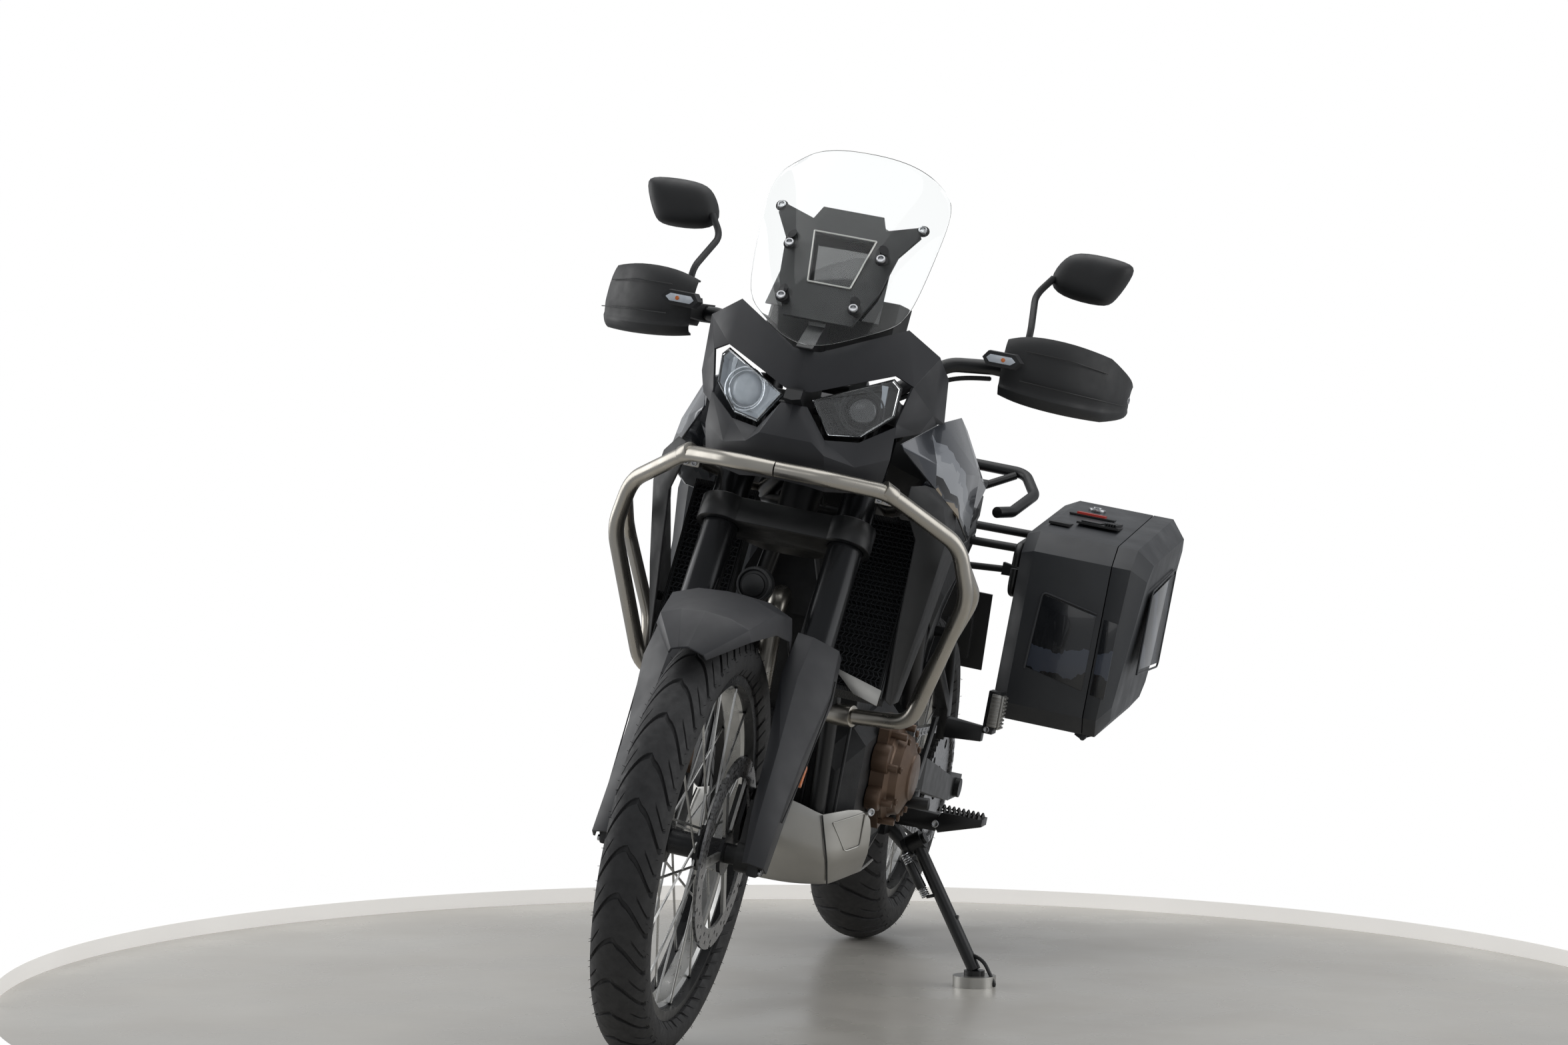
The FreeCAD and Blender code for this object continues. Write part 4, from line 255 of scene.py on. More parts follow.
LOOKS = {
    # Injection-moulded ABS with a fine spark-eroded grain: charcoal, matte, a soft broad sheen
    "abs": Finish("moulded_charcoal_abs", "#25262A", 0.46)
    .mottle("#1F2023", 90, 0.7).scuff(0.42, 0.54, 45).grain(0.9, 0.03, detail=2.0),
    # Textured polypropylene, dyed through: near black and dull
    "polypropylene": Finish("moulded_black_polypropylene", "#161718", 0.55)
    .mottle("#1C1D1F", 60, 0.8).scuff(0.48, 0.62, 30).grain(1.4, 0.06, detail=2.0),
    # Satin case plastic, lightly grained, with a slow drift between two dark greys
    "case": Finish("moulded_case_polymer", "#2C2E31", 0.42)
    .mottle("#232528", 120, 0.8).scuff(0.36, 0.50, 60).grain(1.1, 0.04, detail=2.0),
    # Powder-coated steel: satin black with a faint orange peel
    "powder": Finish("powder_coated_steel", "#121314", 0.38)
    .mottle("#191A1C", 70, 0.6).scuff(0.32, 0.44, 40).grain(3.0, 0.05, detail=1.0),
    # Hard-anodised fork tube: smooth black metal with long highlights
    "anodised": Finish("black_anodised_aluminium", "#1B1C1E", 0.24, Metallic=0.55)
    .mottle("#232426", 60, 0.6).scuff(0.20, 0.30, 50, stretch=(1, 1, 0.2)),
    # Painted sand casting: rough skin, dull black with dusty patches
    "casting": Finish("black_painted_casting", "#191A1C", 0.5)
    .mottle("#2A2B2D", 35, 0.8).scuff(0.42, 0.60, 20).grain(2.2, 0.15),
    # Die-cast cover painted bronze-brown, satin and slightly grainy
    "bronze": Finish("bronze_painted_casting", "#6B5748", 0.38, Metallic=0.5)
    .mottle("#5C4A3D", 30, 0.8).scuff(0.32, 0.46, 18).grain(1.8, 0.08),
    # Brushed stainless tube: fine scratches blur the highlight
    "steel": Finish("brushed_stainless_steel", "#B3AFA7", 0.30, Metallic=1.0)
    .mottle("#A5A199", 60, 0.6).scuff(0.25, 0.36, 30).grain(1.0, 0.008, stretch=(0.2, 1, 1)),
    # Ground brake disc steel, its sheen patchy from pad wear
    "disc": Finish("ground_disc_steel", "#A9A9AA", 0.3, Metallic=1.0)
    .mottle("#8E8E90", 12, 0.7).scuff(0.22, 0.40, 5),
    # Rolled aluminium plate, brushed lengthways, with a soft drift from grey to pale grey
    "aluminium": Finish("brushed_aluminium", "#B6B5B1", 0.40, Metallic=1.0)
    .mottle("#A8A7A3", 60, 0.7).scuff(0.34, 0.46, 40).grain(1.2, 0.012, stretch=(1, 0.2, 1)),
    # Zinc-plated screws, locks and spring, with small crisp highlights
    "zinc": Finish("zinc_plated_steel", "#B7B8BA", 0.25, Metallic=1.0)
    .mottle("#9FA1A4", 6, 0.6).scuff(0.18, 0.36, 8),
    # Cured tread rubber: soft grey-black, faint bloom, no clear highlight
    "tyre": Finish("cured_tyre_rubber", "#232324", 0.68)
    .mottle("#2F2F30", 26, 0.8).scuff(0.60, 0.80, 12).grain(1.6, 0.10),
    # Moulded grip rubber, softer and blacker than the tyre
    "rubber": Finish("moulded_grip_rubber", "#161617", 0.62).mottle("#1F1F20", 15, 0.6).grain(1.0, 0.08),
    "vinyl": seat_vinyl(),
    # Clear lacquered instrument face: dark glass with a crisp highlight
    "display": Finish("lacquered_display_glass", "#07080A", 0.08, Coat_Weight=0.6)
    .mottle("#0D0F13", 40, 0.8),
    # Hard-coated polycarbonate, 4 mm: nearly invisible, with bright edges
    "screen": Finish("clear_polycarbonate", "#FAFCFC", 0.0, IOR=1.22, Transmission_Weight=1.0)
    .scuff(0.0, 0.02, 60),
    # Clear moulded lamp lens
    "lens": Finish("clear_lamp_lens", "#EDF0F2", 0.03, IOR=1.5, Transmission_Weight=1.0)
    .scuff(0.02, 0.06, 30),
    # Moulded red acrylic with a clear coat over it
    "red_lens": Finish("red_moulded_acrylic", "#7A0C10", 0.16, Coat_Weight=0.5).mottle("#8E1418", 8, 0.6),
    "amber": amber_lens(),
    # Moulded red polymer of the case's slider, satin
    "red": Finish("moulded_red_polymer", "#B3362C", 0.4).mottle("#9E2C24", 8, 0.6).grain(1.0, 0.04),
    # Silvered glass: nearly perfect, with faint smears
    "mirror": Finish("silvered_mirror_glass", "#DADDE0", 0.03, Metallic=1.0).scuff(0.02, 0.06, 40),
    # Vacuum-metallised reflector: bright, with a soft highlight
    "chrome": Finish("metallised_reflector", "#D5D8DC", 0.1, Metallic=1.0).scuff(0.06, 0.16, 10),
    # Pale moulded light guide under its clear cover; the right lamp's projector and bowl wear it too, there
    # as a painted reflection
    "guide": Finish("pale_light_guide_and_painted_reflection", "#C9CFD6", 0.2, Coat_Weight=0.5).mottle("#AEB6BF", 12, 0.6),
    "fins": radiator_fins(), "panel": shard_panel(), "inlay": case_inlay(),
    "front_wheel": spoked(FRONT_AXLE_Z, 0, hub=37, rim=260),
    "rear_wheel": spoked(REAR_AXLE_Z, WHEELBASE, hub=62, rim=222),
}

# Finish of each node that shows as it was drawn
NODE_FINISH = {node: finish for finish, nodes in {
    "front_wheel": ("front_wire_wheel",), "rear_wheel": ("rear_wire_wheel",), "anodised": ("fork_tubes",),
    "disc": ("front_disc_left", "front_disc_right", "rear_disc", "rear_sprocket", "drive_chain"),
    "powder": ("fork_legs", "handlebar", "main_frame", "subframe", "swingarm", "rear_shock", "side_stand"),
    "casting": ("front_calipers", "engine_block"), "rubber": ("hand_controls",), "bronze": ("engine_covers",),
    "polypropylene": ("front_indicators", "instrument_panel"), "steel": ("exhaust",), "fins": ("radiators",),
    "red_lens": ("rear_light",), "aluminium": ("stand_plate",),
}.items() for node in nodes}
# Nodes whose edges are rounded before they show: finish, radius in millimetres, least angle, segments
ROUNDED = {
    "front_fender": ("abs", 1.6, 16, 2), "fork_guards": ("abs", 1.6, 16, 2),
    "nose_cowl": ("abs", 1.6, 26, 2), "side_shrouds": ("polypropylene", 1.6, 24, 2),
    "tank_side_panels": ("panel", 1.4, 30, 2), "fuel_tank": ("polypropylene", 6.0, 20, 3),
    "side_covers": ("polypropylene", 1.4, 24, 2), "tail_unit": ("polypropylene", 2.0, 20, 2),
    "pannier_box_left": ("case", 3.0, 20, 2), "pannier_box_right": ("case", 3.0, 20, 2),
    "pannier_lid_left": ("case", 4.0, 20, 3), "pannier_lid_right": ("case", 4.0, 20, 3),
    "rear_rack": ("powder", 1.2, 30, 2), "passenger_hangers": ("powder", 1.4, 30, 2),
    "triple_clamps": ("powder", 2.0, 30, 2), "foot_controls": ("powder", 1.2, 30, 2),
}


# Modelling

def alone(piece):
    """Only this piece selected and active."""
    bpy.ops.object.select_all(action="DESELECT")
    piece.select_set(True)
    bpy.context.view_layer.objects.active = piece


def modify(piece, kind, **settings):
    """Adds a modifier and applies it."""
    alone(piece)
    modifier = piece.modifiers.new(kind, kind)
    for name, value in settings.items():
        setattr(modifier, name, value)
    bpy.ops.object.modifier_apply(modifier=modifier.name)


def ease(piece, radius, degrees, segments=2):
    """Rounds the edges that are sharper than the angle."""
    modify(piece, "BEVEL", width=radius, segments=segments, limit_method="ANGLE",
           angle_limit=math.radians(degrees))


def smooth(piece, degrees):
    alone(piece)
    bpy.ops.object.shade_smooth_by_angle(angle=math.radians(degrees))


def dress(piece, name, body, finish, degrees=35, in_row=False):
    """Puts a piece drawn in the bike frame's millimetres into the row, on its body, with its finish."""
    piece.name = name
    if not in_row:
        piece.data.transform(BIKE @ Matrix.Scale(MM, 4) @ piece.matrix_world)
        piece.matrix_world = Matrix.Identity(4)
    piece.data.materials.clear()
    piece.data.materials.append(LOOKS[finish].material)
    smooth(piece, degrees)
    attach(piece, body)
    return piece


def join(pieces):
    bpy.ops.object.select_all(action="DESELECT")
    for piece in pieces:
        piece.select_set(True)
    bpy.context.view_layer.objects.active = pieces[0]
    if len(pieces) > 1:
        bpy.ops.object.join()
    return pieces[0]


def apply_place(piece):
    """Takes the object's place into its mesh."""
    piece.data.transform(piece.matrix_world)
    piece.matrix_world = Matrix.Identity(4)
    return piece


def facing(direction):
    """Rotation that turns +Z to the direction."""
    return Vector(direction).to_track_quat("Z", "Y").to_matrix().to_4x4()


def put(piece, place, direction):
    piece.matrix_world = Matrix.Translation(Vector(place)) @ facing(direction)
    return apply_place(piece)


def select(piece, mode, test):
    """In edit mode, selects what passes the test on a bmesh face, edge or vertex."""
    alone(piece)
    bpy.ops.object.mode_set(mode="EDIT")
    bpy.ops.mesh.select_mode(type=mode)
    bpy.ops.mesh.select_all(action="DESELECT")
    mesh = bmesh.from_edit_mesh(piece.data)
    group = {"FACE": mesh.faces, "EDGE": mesh.edges, "VERT": mesh.verts}[mode]
    for item in group:
        item.select = bool(test(item))
    mesh.select_flush_mode()
    bmesh.update_edit_mesh(piece.data)


def done():
    bpy.ops.object.mode_set(mode="OBJECT")


def outwards(piece, merge=0.0):
    """Merges doubles within a distance and turns the faces outwards."""
    alone(piece)
    bpy.ops.object.mode_set(mode="EDIT")
    bpy.ops.mesh.select_all(action="SELECT")
    if merge:
        bpy.ops.mesh.remove_doubles(threshold=merge)
    bpy.ops.mesh.normals_make_consistent(inside=False)
    done()


def copy_of(piece, matrix):
    """A copy with its own mesh, moved by the matrix."""
    twin = piece.copy()
    twin.data = piece.data.copy()
    twin.parent = None
    bpy.context.scene.collection.objects.link(twin)
    twin.data.transform(matrix)
    if matrix.determinant() < 0:
        twin.data.flip_normals()
    return twin


def repeat(piece, places):
    """Copies of one piece, each with its own mesh, joined."""
    copies = [copy_of(piece, place) for place in places]
    bpy.data.objects.remove(piece)
    return join(copies)


def standing(place, direction):
    """Place and turn of a piece that was drawn up +Z from the origin."""
    return Matrix.Translation(Vector(place)) @ facing(direction)


MIRROR = Matrix.Scale(-1, 4, (1, 0, 0))


def both(piece):
    """The left piece and its mirror image as one mesh."""
    return join([piece, copy_of(piece, MIRROR)])


def cylinder(start, end, radius, sides, edge=0.0):
    start, end = Vector(start), Vector(end)
    bpy.ops.mesh.primitive_cylinder_add(vertices=sides, radius=radius, depth=(end - start).length)
    piece = put(bpy.context.object, (start + end) / 2, end - start)
    if edge:
        ease(piece, edge, 50)
    return piece


def block(low, high, edge, segments=2):
    low, high = Vector(low), Vector(high)
    bpy.ops.mesh.primitive_cube_add(size=1)
    piece = bpy.context.object
    piece.data.transform(Matrix.Diagonal((*(high - low), 1)))
    piece.data.transform(Matrix.Translation((low + high) / 2))
    modify(piece, "BEVEL", width=edge, segments=segments)
    return piece


def slab(points, along, edge):
    """An outline extruded by a vector, its edges bevelled."""
    bpy.ops.mesh.primitive_circle_add(vertices=len(points), fill_type="NGON")
    piece = bpy.context.object
    for vertex, point in zip(piece.data.vertices, points):
        vertex.co = Vector(point)
    alone(piece)
    bpy.ops.object.mode_set(mode="EDIT")
    bpy.ops.mesh.select_all(action="SELECT")
    bpy.ops.mesh.extrude_region_move(TRANSFORM_OT_translate={"value": tuple(along)})
    done()
    outwards(piece)
    ease(piece, edge, 30)
    return piece


def piped(kind, path, radius, sides):
    """A round tube along a path of straight stretches (POLY) or a smooth one (NURBS), as a mesh."""
    curve = bpy.data.curves.new("tube", "CURVE")
    curve.dimensions = "3D"
    spline = curve.splines.new(kind)
    spline.points.add(len(path) - 1)
    for point, place in zip(spline.points, path):
        point.co = (*place, 1.0)
    if kind == "NURBS":
        spline.order_u = 4 if len(path) > 3 else 3
        spline.use_endpoint_u = True
        curve.resolution_u = 8
    curve.bevel_depth = radius
    curve.bevel_resolution = max(1, sides // 4)
    curve.use_fill_caps = True
    holder = bpy.data.objects.new("tube", curve)
    bpy.context.scene.collection.objects.link(holder)
    alone(holder)
    bpy.ops.object.convert(target="MESH")
    return bpy.context.object


def tube(points, radius, sides):
    """A smooth tube through points."""
    return piped("NURBS", points, radius, sides)


def bent(points, radius, bend, sides):
    """A tube along straight stretches joined by round bends."""
    path = [Vector(points[0])]
    for before, corner, after in zip(points, points[1:], points[2:]):
        before, corner, after = Vector(before), Vector(corner), Vector(after)
        reach = min(bend, (corner - before).length * 0.45, (after - corner).length * 0.45)
        first = corner + (before - corner).normalized() * reach
        last = corner + (after - corner).normalized() * reach
        for k in range(7):
            share = k / 6
            path.append(first * (1 - share) ** 2 + corner * 2 * share * (1 - share) + last * share ** 2)
    path.append(Vector(points[-1]))
    return piped("POLY", path, radius, sides)


def sheet(rows, wall, creased=(), levels=2, forward=-1):
    """A skin through rows of points, rounded between them, with its wall.

    creased holds ("row" or "column", index) of the lines that stay sharp."""
    count, across = len(rows), len(rows[0])
    bpy.ops.mesh.primitive_grid_add(x_subdivisions=across - 1, y_subdivisions=count - 1, size=1)
    piece = bpy.context.object
    place_of = {}
    for vertex in piece.data.vertices:
        column = round((vertex.co.x + 0.5) * (across - 1))
        row = round((vertex.co.y + 0.5) * (count - 1))
        place_of[vertex.index] = {"row": row, "column": column}
        vertex.co = Vector(rows[row][column])
    if creased:
        select(piece, "EDGE", lambda edge: any(all(place_of[v.index][kind] == at for v in edge.verts)
                                               for kind, at in creased))
        bpy.ops.transform.edge_crease(value=0.85)
        done()
    modify(piece, "SUBSURF", levels=levels, render_levels=levels, boundary_smooth="ALL")
    modify(piece, "SOLIDIFY", thickness=wall, offset=forward)
    outwards(piece)
    ease(piece, min(1.0, wall * 0.3), 60)
    return piece


def across_middle(rows):
    """Rows from the middle outwards, completed on the other side."""
    return [[(-x, y, z) for x, y, z in reversed(row[1:])] + list(row) for row in rows]


def on_patch(corners, u, v):
    """A point inside a patch of four corners, by its shares along two sides."""
    a, b, c, d = (Vector(p) for p in corners)
    return (a * (1 - u) + b * u) * (1 - v) + (d * (1 - u) + c * u) * v


def drawn_copy(node):
    """A copy of a CAD node as a piece of its own, with the name of the body that it rides."""
    source = frame["nodes"][node]
    piece = source.copy()
    piece.data = source.data.copy()
    piece.parent = None
    bpy.context.scene.collection.objects.link(piece)
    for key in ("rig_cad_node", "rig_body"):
        if key in piece:
            del piece[key]
    return piece, source["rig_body"]


def rounded_copy(node, finish, radius_mm, limit, segments):
    """A CAD node with its facets joined and its edges rounded, so that they catch the light."""
    piece, body = drawn_copy(node)
    alone(piece)
    bpy.ops.object.mode_set(mode="EDIT")
    bpy.ops.mesh.select_all(action="SELECT")
    bpy.ops.mesh.remove_doubles(threshold=0.00002)
    bpy.ops.mesh.dissolve_limited(angle_limit=math.radians(1.0))
    done()
    ease(piece, radius_mm * MM, limit, segments)
    dress(piece, node + "_shell", body, finish, 40, in_row=True)
    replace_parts(piece, node)


# Screws

def screw_heads(name, body, rows, finish="zinc"):
    """Socket screws, each row with its place, direction, head radius and height."""
    heads = []
    for radius, high in sorted({(radius, high) for place, direction, radius, high in rows}):
        bpy.ops.mesh.primitive_cylinder_add(vertices=18, radius=radius, depth=high,
                                            location=(0, 0, high / 2))
        head = apply_place(bpy.context.object)
        select(head, "FACE", lambda face: face.normal.z > 0.9)
        bpy.ops.mesh.inset(thickness=radius * 0.42, depth=0)
        bpy.ops.mesh.inset(thickness=0.01, depth=-high * 0.55)
        done()
        ease(head, radius * 0.12, 40)
        heads.append(repeat(head, [standing(place, direction) for place, direction, *size in rows
                                   if tuple(size) == (radius, high)]))
    dress(join(heads), name, body, finish)


def on_each_side(place, direction, radius, high):
    """A screw's rows on the right and on the left."""
    return [(Vector((side * place[0], place[1], place[2])), (side * direction[0], direction[1], direction[2]),
             radius, high) for side in (-1, 1)]


# Tyres

def tyre(name, body, axle_y, axle_z, radius, crown, side, pitches, sweep, groove_mm, edge_turn):
    """A ring of tread blocks: a grid wrapped round the wheel whose grooves are columns pushed in.

    side holds (across, radius) from the tread's edge to the bead; sweep leans the grooves rearwards."""
    turns = [math.radians(edge_turn * k / 8) for k in range(9)]
    half = [(crown * math.sin(t), radius - crown * (1 - math.cos(t))) for t in turns]
    rows = [(-a, r) for a, r in reversed(half[1:] + list(side))] + half + list(side)
    # Share of a pitch, how deep the main groove is there, how deep the shoulder's slot is
    columns = ((0.0, 0, 0), (0.28, 0, 0), (0.30, 0, 1), (0.34, 0, 1), (0.36, 0, 0), (0.58, 0, 0),
               (0.80, 0, 0), (0.82, 1, 0), (0.93, 1, 0), (0.95, 0, 0))
    around, section = pitches * len(columns), len(rows)
    bpy.ops.mesh.primitive_grid_add(x_subdivisions=around, y_subdivisions=section, size=1)
    piece = bpy.context.object
    edge = half[-1][0]
    for vertex in piece.data.vertices:
        i = round((vertex.co.x + 0.5) * around) % around
        j = round((vertex.co.y + 0.5) * section) % section
        share, main, slot = columns[i % len(columns)]
        across, reach = rows[j]
        off = min(1.0, abs(across) / edge)
        lean = sweep * (off ** 1.9 + 0.12 * (1 if across > 0 else 0))
        depth = 0.0
        if abs(across) < edge * 1.001:
            # Grooves are shallow in the middle tenth, and the slots cut the shoulder alone
            depth = groove_mm * (main if off > 0.10 else main * 0.35)
            if off > 0.62:
                depth = max(depth, groove_mm * 0.6 * slot)
        turn = 2 * math.pi * (i // len(columns) + share + lean) / pitches
        out = Vector((across, 0, reach - (radius - crown))).normalized()
        across, reach = across - out.x * depth, reach - out.z * depth
        vertex.co = (across, axle_y + reach * math.sin(turn), axle_z + reach * math.cos(turn))
    outwards(piece, 0.001)
    return dress(piece, name, body, "tyre", 28)


def whiskers(name, body, axle_y, axle_z, reaches, count, seed):
    """Moulding hairs left on a new tyre's shoulders; reaches holds the (across, radius) of each ring."""
    bpy.ops.mesh.primitive_cone_add(vertices=4, radius1=0.5, radius2=0.25, depth=4.5)
    hair = apply_place(bpy.context.object)
    places = []
    for k in range(count):
        turn = 2 * math.pi * (k + 0.31 * math.sin(seed + k * 2.7)) / count
        for side in (-1, 1):
            across, reach = reaches[k % len(reaches)]
            foot = Vector((side * across, axle_y + reach * math.sin(turn),
                           axle_z + reach * math.cos(turn)))
            away = Vector((side * 0.75, math.sin(turn) * 0.65, math.cos(turn) * 0.65)).normalized()
            places.append(standing(foot + away * 2, away))
    dress(repeat(hair, places), name, body, "rubber")


def tyres():
    """Rings of tread blocks in place of the plain tyres, with their whiskers."""
    front = tyre("front_tyre_tread", "front_wheel", 0, FRONT_AXLE_Z, 347.5, 46,
                 ((44.5, 316), (46, 304), (44, 290), (36, 279), (27.7, 277), (27.7, 267.4)),
                 pitches=30, sweep=-0.85, groove_mm=4.5, edge_turn=66)
    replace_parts(front, "front_tyre")
    rear = tyre("rear_tyre_tread", "rear_wheel", WHEELBASE, REAR_AXLE_Z, 333, 82,
                ((71, 292), (75, 276), (73, 258), (62, 243), (50.7, 240), (50.7, 229.4)),
                pitches=26, sweep=-0.8, groove_mm=5.5, edge_turn=54)
    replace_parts(rear, "rear_tyre")
    whiskers("front_tyre_whiskers", "front_wheel", 0, FRONT_AXLE_Z, ((42, 321), (45, 312)),
             count=90, seed=1.0)
    whiskers("rear_tyre_whiskers", "rear_wheel", WHEELBASE, REAR_AXLE_Z, ((68, 298), (74, 284)),
             count=70, seed=2.0)


# Screen, lamps and dash

# The screen bracket's slope: its foot, its rise, the length of that, and the direction square to it
SCREEN_FOOT, SCREEN_RISE, SCREEN_SLOPE = Vector((0, 232, 1196)), Vector((0, 145, 222)), 265.2
SCREEN_SQUARE = Vector((0, -222, 145)).normalized()


def on_bracket(x, distance):
    """A point on the slope, at a distance up it."""
    return Vector((x, 0, 0)) + SCREEN_FOOT + SCREEN_RISE * (distance / SCREEN_SLOPE)


def screen_details():
    """Screws with rubber washers on the screen's bosses, bright trim round the air slot."""
    bosses = [Vector((side * x, y, z)) for x, y, z in ((78, 274, 1310), (61, 216, 1223), (121, 352, 1370))
              for side in (-1, 1)]
    screw_heads("screen_screws", "root", [(boss + Vector((0, -4, 1)), SCREEN_SQUARE, 7.5, 6)
                                          for boss in bosses])
    washers = [cylinder(boss, boss + SCREEN_SQUARE * 3.5, 10.5, 24, 0.8) for boss in bosses]
    dress(join(washers), "screen_washers", "root", "rubber")
    slot = [on_bracket(x, up) + SCREEN_SQUARE * 1.5 for x, up in ((-36, 71), (36, 71), (53, 171), (-53, 171))]
    bars = [cylinder(a, b, 1.6, 8) for a, b in zip(slot, slot[1:] + slot[:1])]
    dress(join(bars), "slot_trim", "root", "aluminium")


def vent_insert():
    """Dark panel behind the screen bracket's air slot."""
    panel = [on_bracket(x, up) + SCREEN_SQUARE * -17 for x, up in
             ((-96, 24), (96, 24), (88, 120), (72, 204), (56, 211), (-56, 211), (-72, 204), (-88, 120))]
    dress(slab(panel, SCREEN_SQUARE * 3, 1.0), "vent_panel", "root", "display")


def display():
    """Glass face of the dash, leant like its housing."""
    face = slab([(-92, 375, 1145), (92, 375, 1145), (92, 395, 1232), (-92, 395, 1232)], (0, 10, -2), 1.5)
    dress(face, "display_glass", "root", "display")


# Outline of the left lamp, and the point that its loops shrink to
LAMP = ((25, 198, 1068), (141, 250, 1124), (153, 260, 1112), (151, 258, 1066), (108, 232, 1024),
        (60, 205, 1017))
LAMP_MIDDLE = Vector((108, 236, 1072))


def ring_towards(points, middle, share, back):
    """An outline shrunk to a share of its size about a middle, and moved back."""
    return [Vector(p) * share + middle * (1 - share) + Vector((0, back, 0)) for p in points]


def bridge(rings, close=True):
    """Loops of equal length joined into one skin, its last loop filled where close is set."""
    bpy.ops.mesh.primitive_circle_add(vertices=len(rings[0]), fill_type="NOTHING")
    piece = bpy.context.object
    for vertex, point in zip(piece.data.vertices, rings[0]):
        vertex.co = point
    alone(piece)
    bpy.ops.object.mode_set(mode="EDIT")
    bpy.ops.mesh.select_mode(type="EDGE")
    bpy.ops.mesh.select_all(action="SELECT")
    for ring in rings[1:]:
        bpy.ops.mesh.extrude_edges_move(TRANSFORM_OT_translate={"value": (0, 0, 0)})
        mesh = bmesh.from_edit_mesh(piece.data)
        mesh.verts.ensure_lookup_table()
        fresh = sorted((v for v in mesh.verts if v.select), key=lambda v: v.index)
        for vertex, point in zip(fresh, ring):
            vertex.co = point
        bmesh.update_edit_mesh(piece.data)
    if close:
        bpy.ops.mesh.edge_face_add()
    done()
    outwards(piece)
    return piece


def lamps():
    """Clear lenses over dark buckets; in each a ringed projector, a bowl and a pale light guide."""
    lens = bridge([ring_towards(LAMP, LAMP_MIDDLE, 1.0, 0), ring_towards(LAMP, LAMP_MIDDLE, 0.97, -3)])
    modify(lens, "SOLIDIFY", thickness=2.5, offset=-1)
    dress(both(lens), "lamp_lenses", "root", "lens", 20)
    bucket = bridge([ring_towards(LAMP, LAMP_MIDDLE, share, back)
                     for share, back in ((1.0, 4), (0.9, 14), (0.72, 40))])
    modify(bucket, "SOLIDIFY", thickness=2.5, offset=1)
    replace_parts(dress(both(bucket), "lamp_buckets", "root", "polypropylene", 30), "headlights")
    # The two lamps are alike, but finished apart: on the left a dark ring, projector and bowl; on the right a
    # chrome ring and a pale projector and bowl, a painted reflection behind its lens
    for side, name, ring, ball_finish, bowl_finish in ((-1, "right", "chrome", "guide", "guide"),
                                                       (1, "left", "powder", "display", "display")):
        centre = Vector((side * 98, 250, 1064))
        ahead = Vector((side * 0.22, -0.97, 0.05)).normalized()
        rings = []
        for radius, out, wide in ((36, 6, 1.5), (31, 2, 1.0)):
            bpy.ops.mesh.primitive_torus_add(major_radius=radius, minor_radius=wide, major_segments=40,
                                             minor_segments=8)
            rings.append(put(bpy.context.object, centre + ahead * out, ahead))
        dress(join(rings), "lamp_rings_" + name, "root", ring)
        bpy.ops.mesh.primitive_uv_sphere_add(segments=32, ring_count=16, radius=27)
        ball = bpy.context.object
        ball.data.transform(Matrix.Diagonal((1, 1, 0.5, 1)))
        dress(put(ball, centre + ahead * -2, ahead), "lamp_projector_" + name, "root", ball_finish)
        outline = [Vector((side * x, y, z)) for x, y, z in LAMP]
        heart = Vector((side * LAMP_MIDDLE.x, LAMP_MIDDLE.y, LAMP_MIDDLE.z))
        bowl = bridge([ring_towards(outline, heart, 0.93, 9), ring_towards(outline, heart, 0.80, 26)],
                      close=side < 0)
        dress(bowl, "lamp_bowl_" + name, "root", bowl_finish, 15)
        strip = slab([(side * x, y, z) for x, y, z in ((122, 252, 1112), (132, 258, 1112), (132, 258, 1076),
                                                       (126, 255, 1074), (124, 255, 1100))], (0, 6, 0), 1.0)
        dress(strip, "lamp_strip_" + name, "root", "guide")


# Skins

# Rows from the middle to the left edge, from the foot to the top
SCREEN = (((0, 172, 1152), (45, 184, 1162), (97, 236, 1192), (130, 282, 1212)),
          ((0, 200, 1238), (60, 214, 1238), (110, 256, 1243), (143, 306, 1254)),
          ((0, 258, 1328), (65, 268, 1328), (118, 306, 1330), (153, 346, 1336)),
          ((0, 322, 1412), (65, 331, 1412), (120, 362, 1415), (160, 394, 1420)),
          ((0, 378, 1484), (55, 386, 1482), (100, 402, 1470), (130, 420, 1448)))
# Rows from the middle to the left edge, from the front's top to the rear
SKID = (((0, 452, 396), (62, 458, 392), (112, 484, 372), (186, 560, 404)),
        ((0, 452, 320), (66, 460, 310), (132, 496, 296), (184, 574, 310)),
        ((0, 520, 236), (70, 528, 236), (128, 556, 246), (164, 640, 268)),
        ((0, 880, 226), (70, 880, 226), (124, 880, 238), (150, 860, 272)))
# Handguard columns: x, y, underside, crease, top
GUARD = ((272, 470, 1128, 1178, 1224), (310, 456, 1118, 1172, 1238), (385, 482, 1112, 1166, 1237),
         (440, 540, 1113, 1160, 1224), (470, 612, 1124, 1158, 1196), (465, 668, 1136, 1158, 1182))


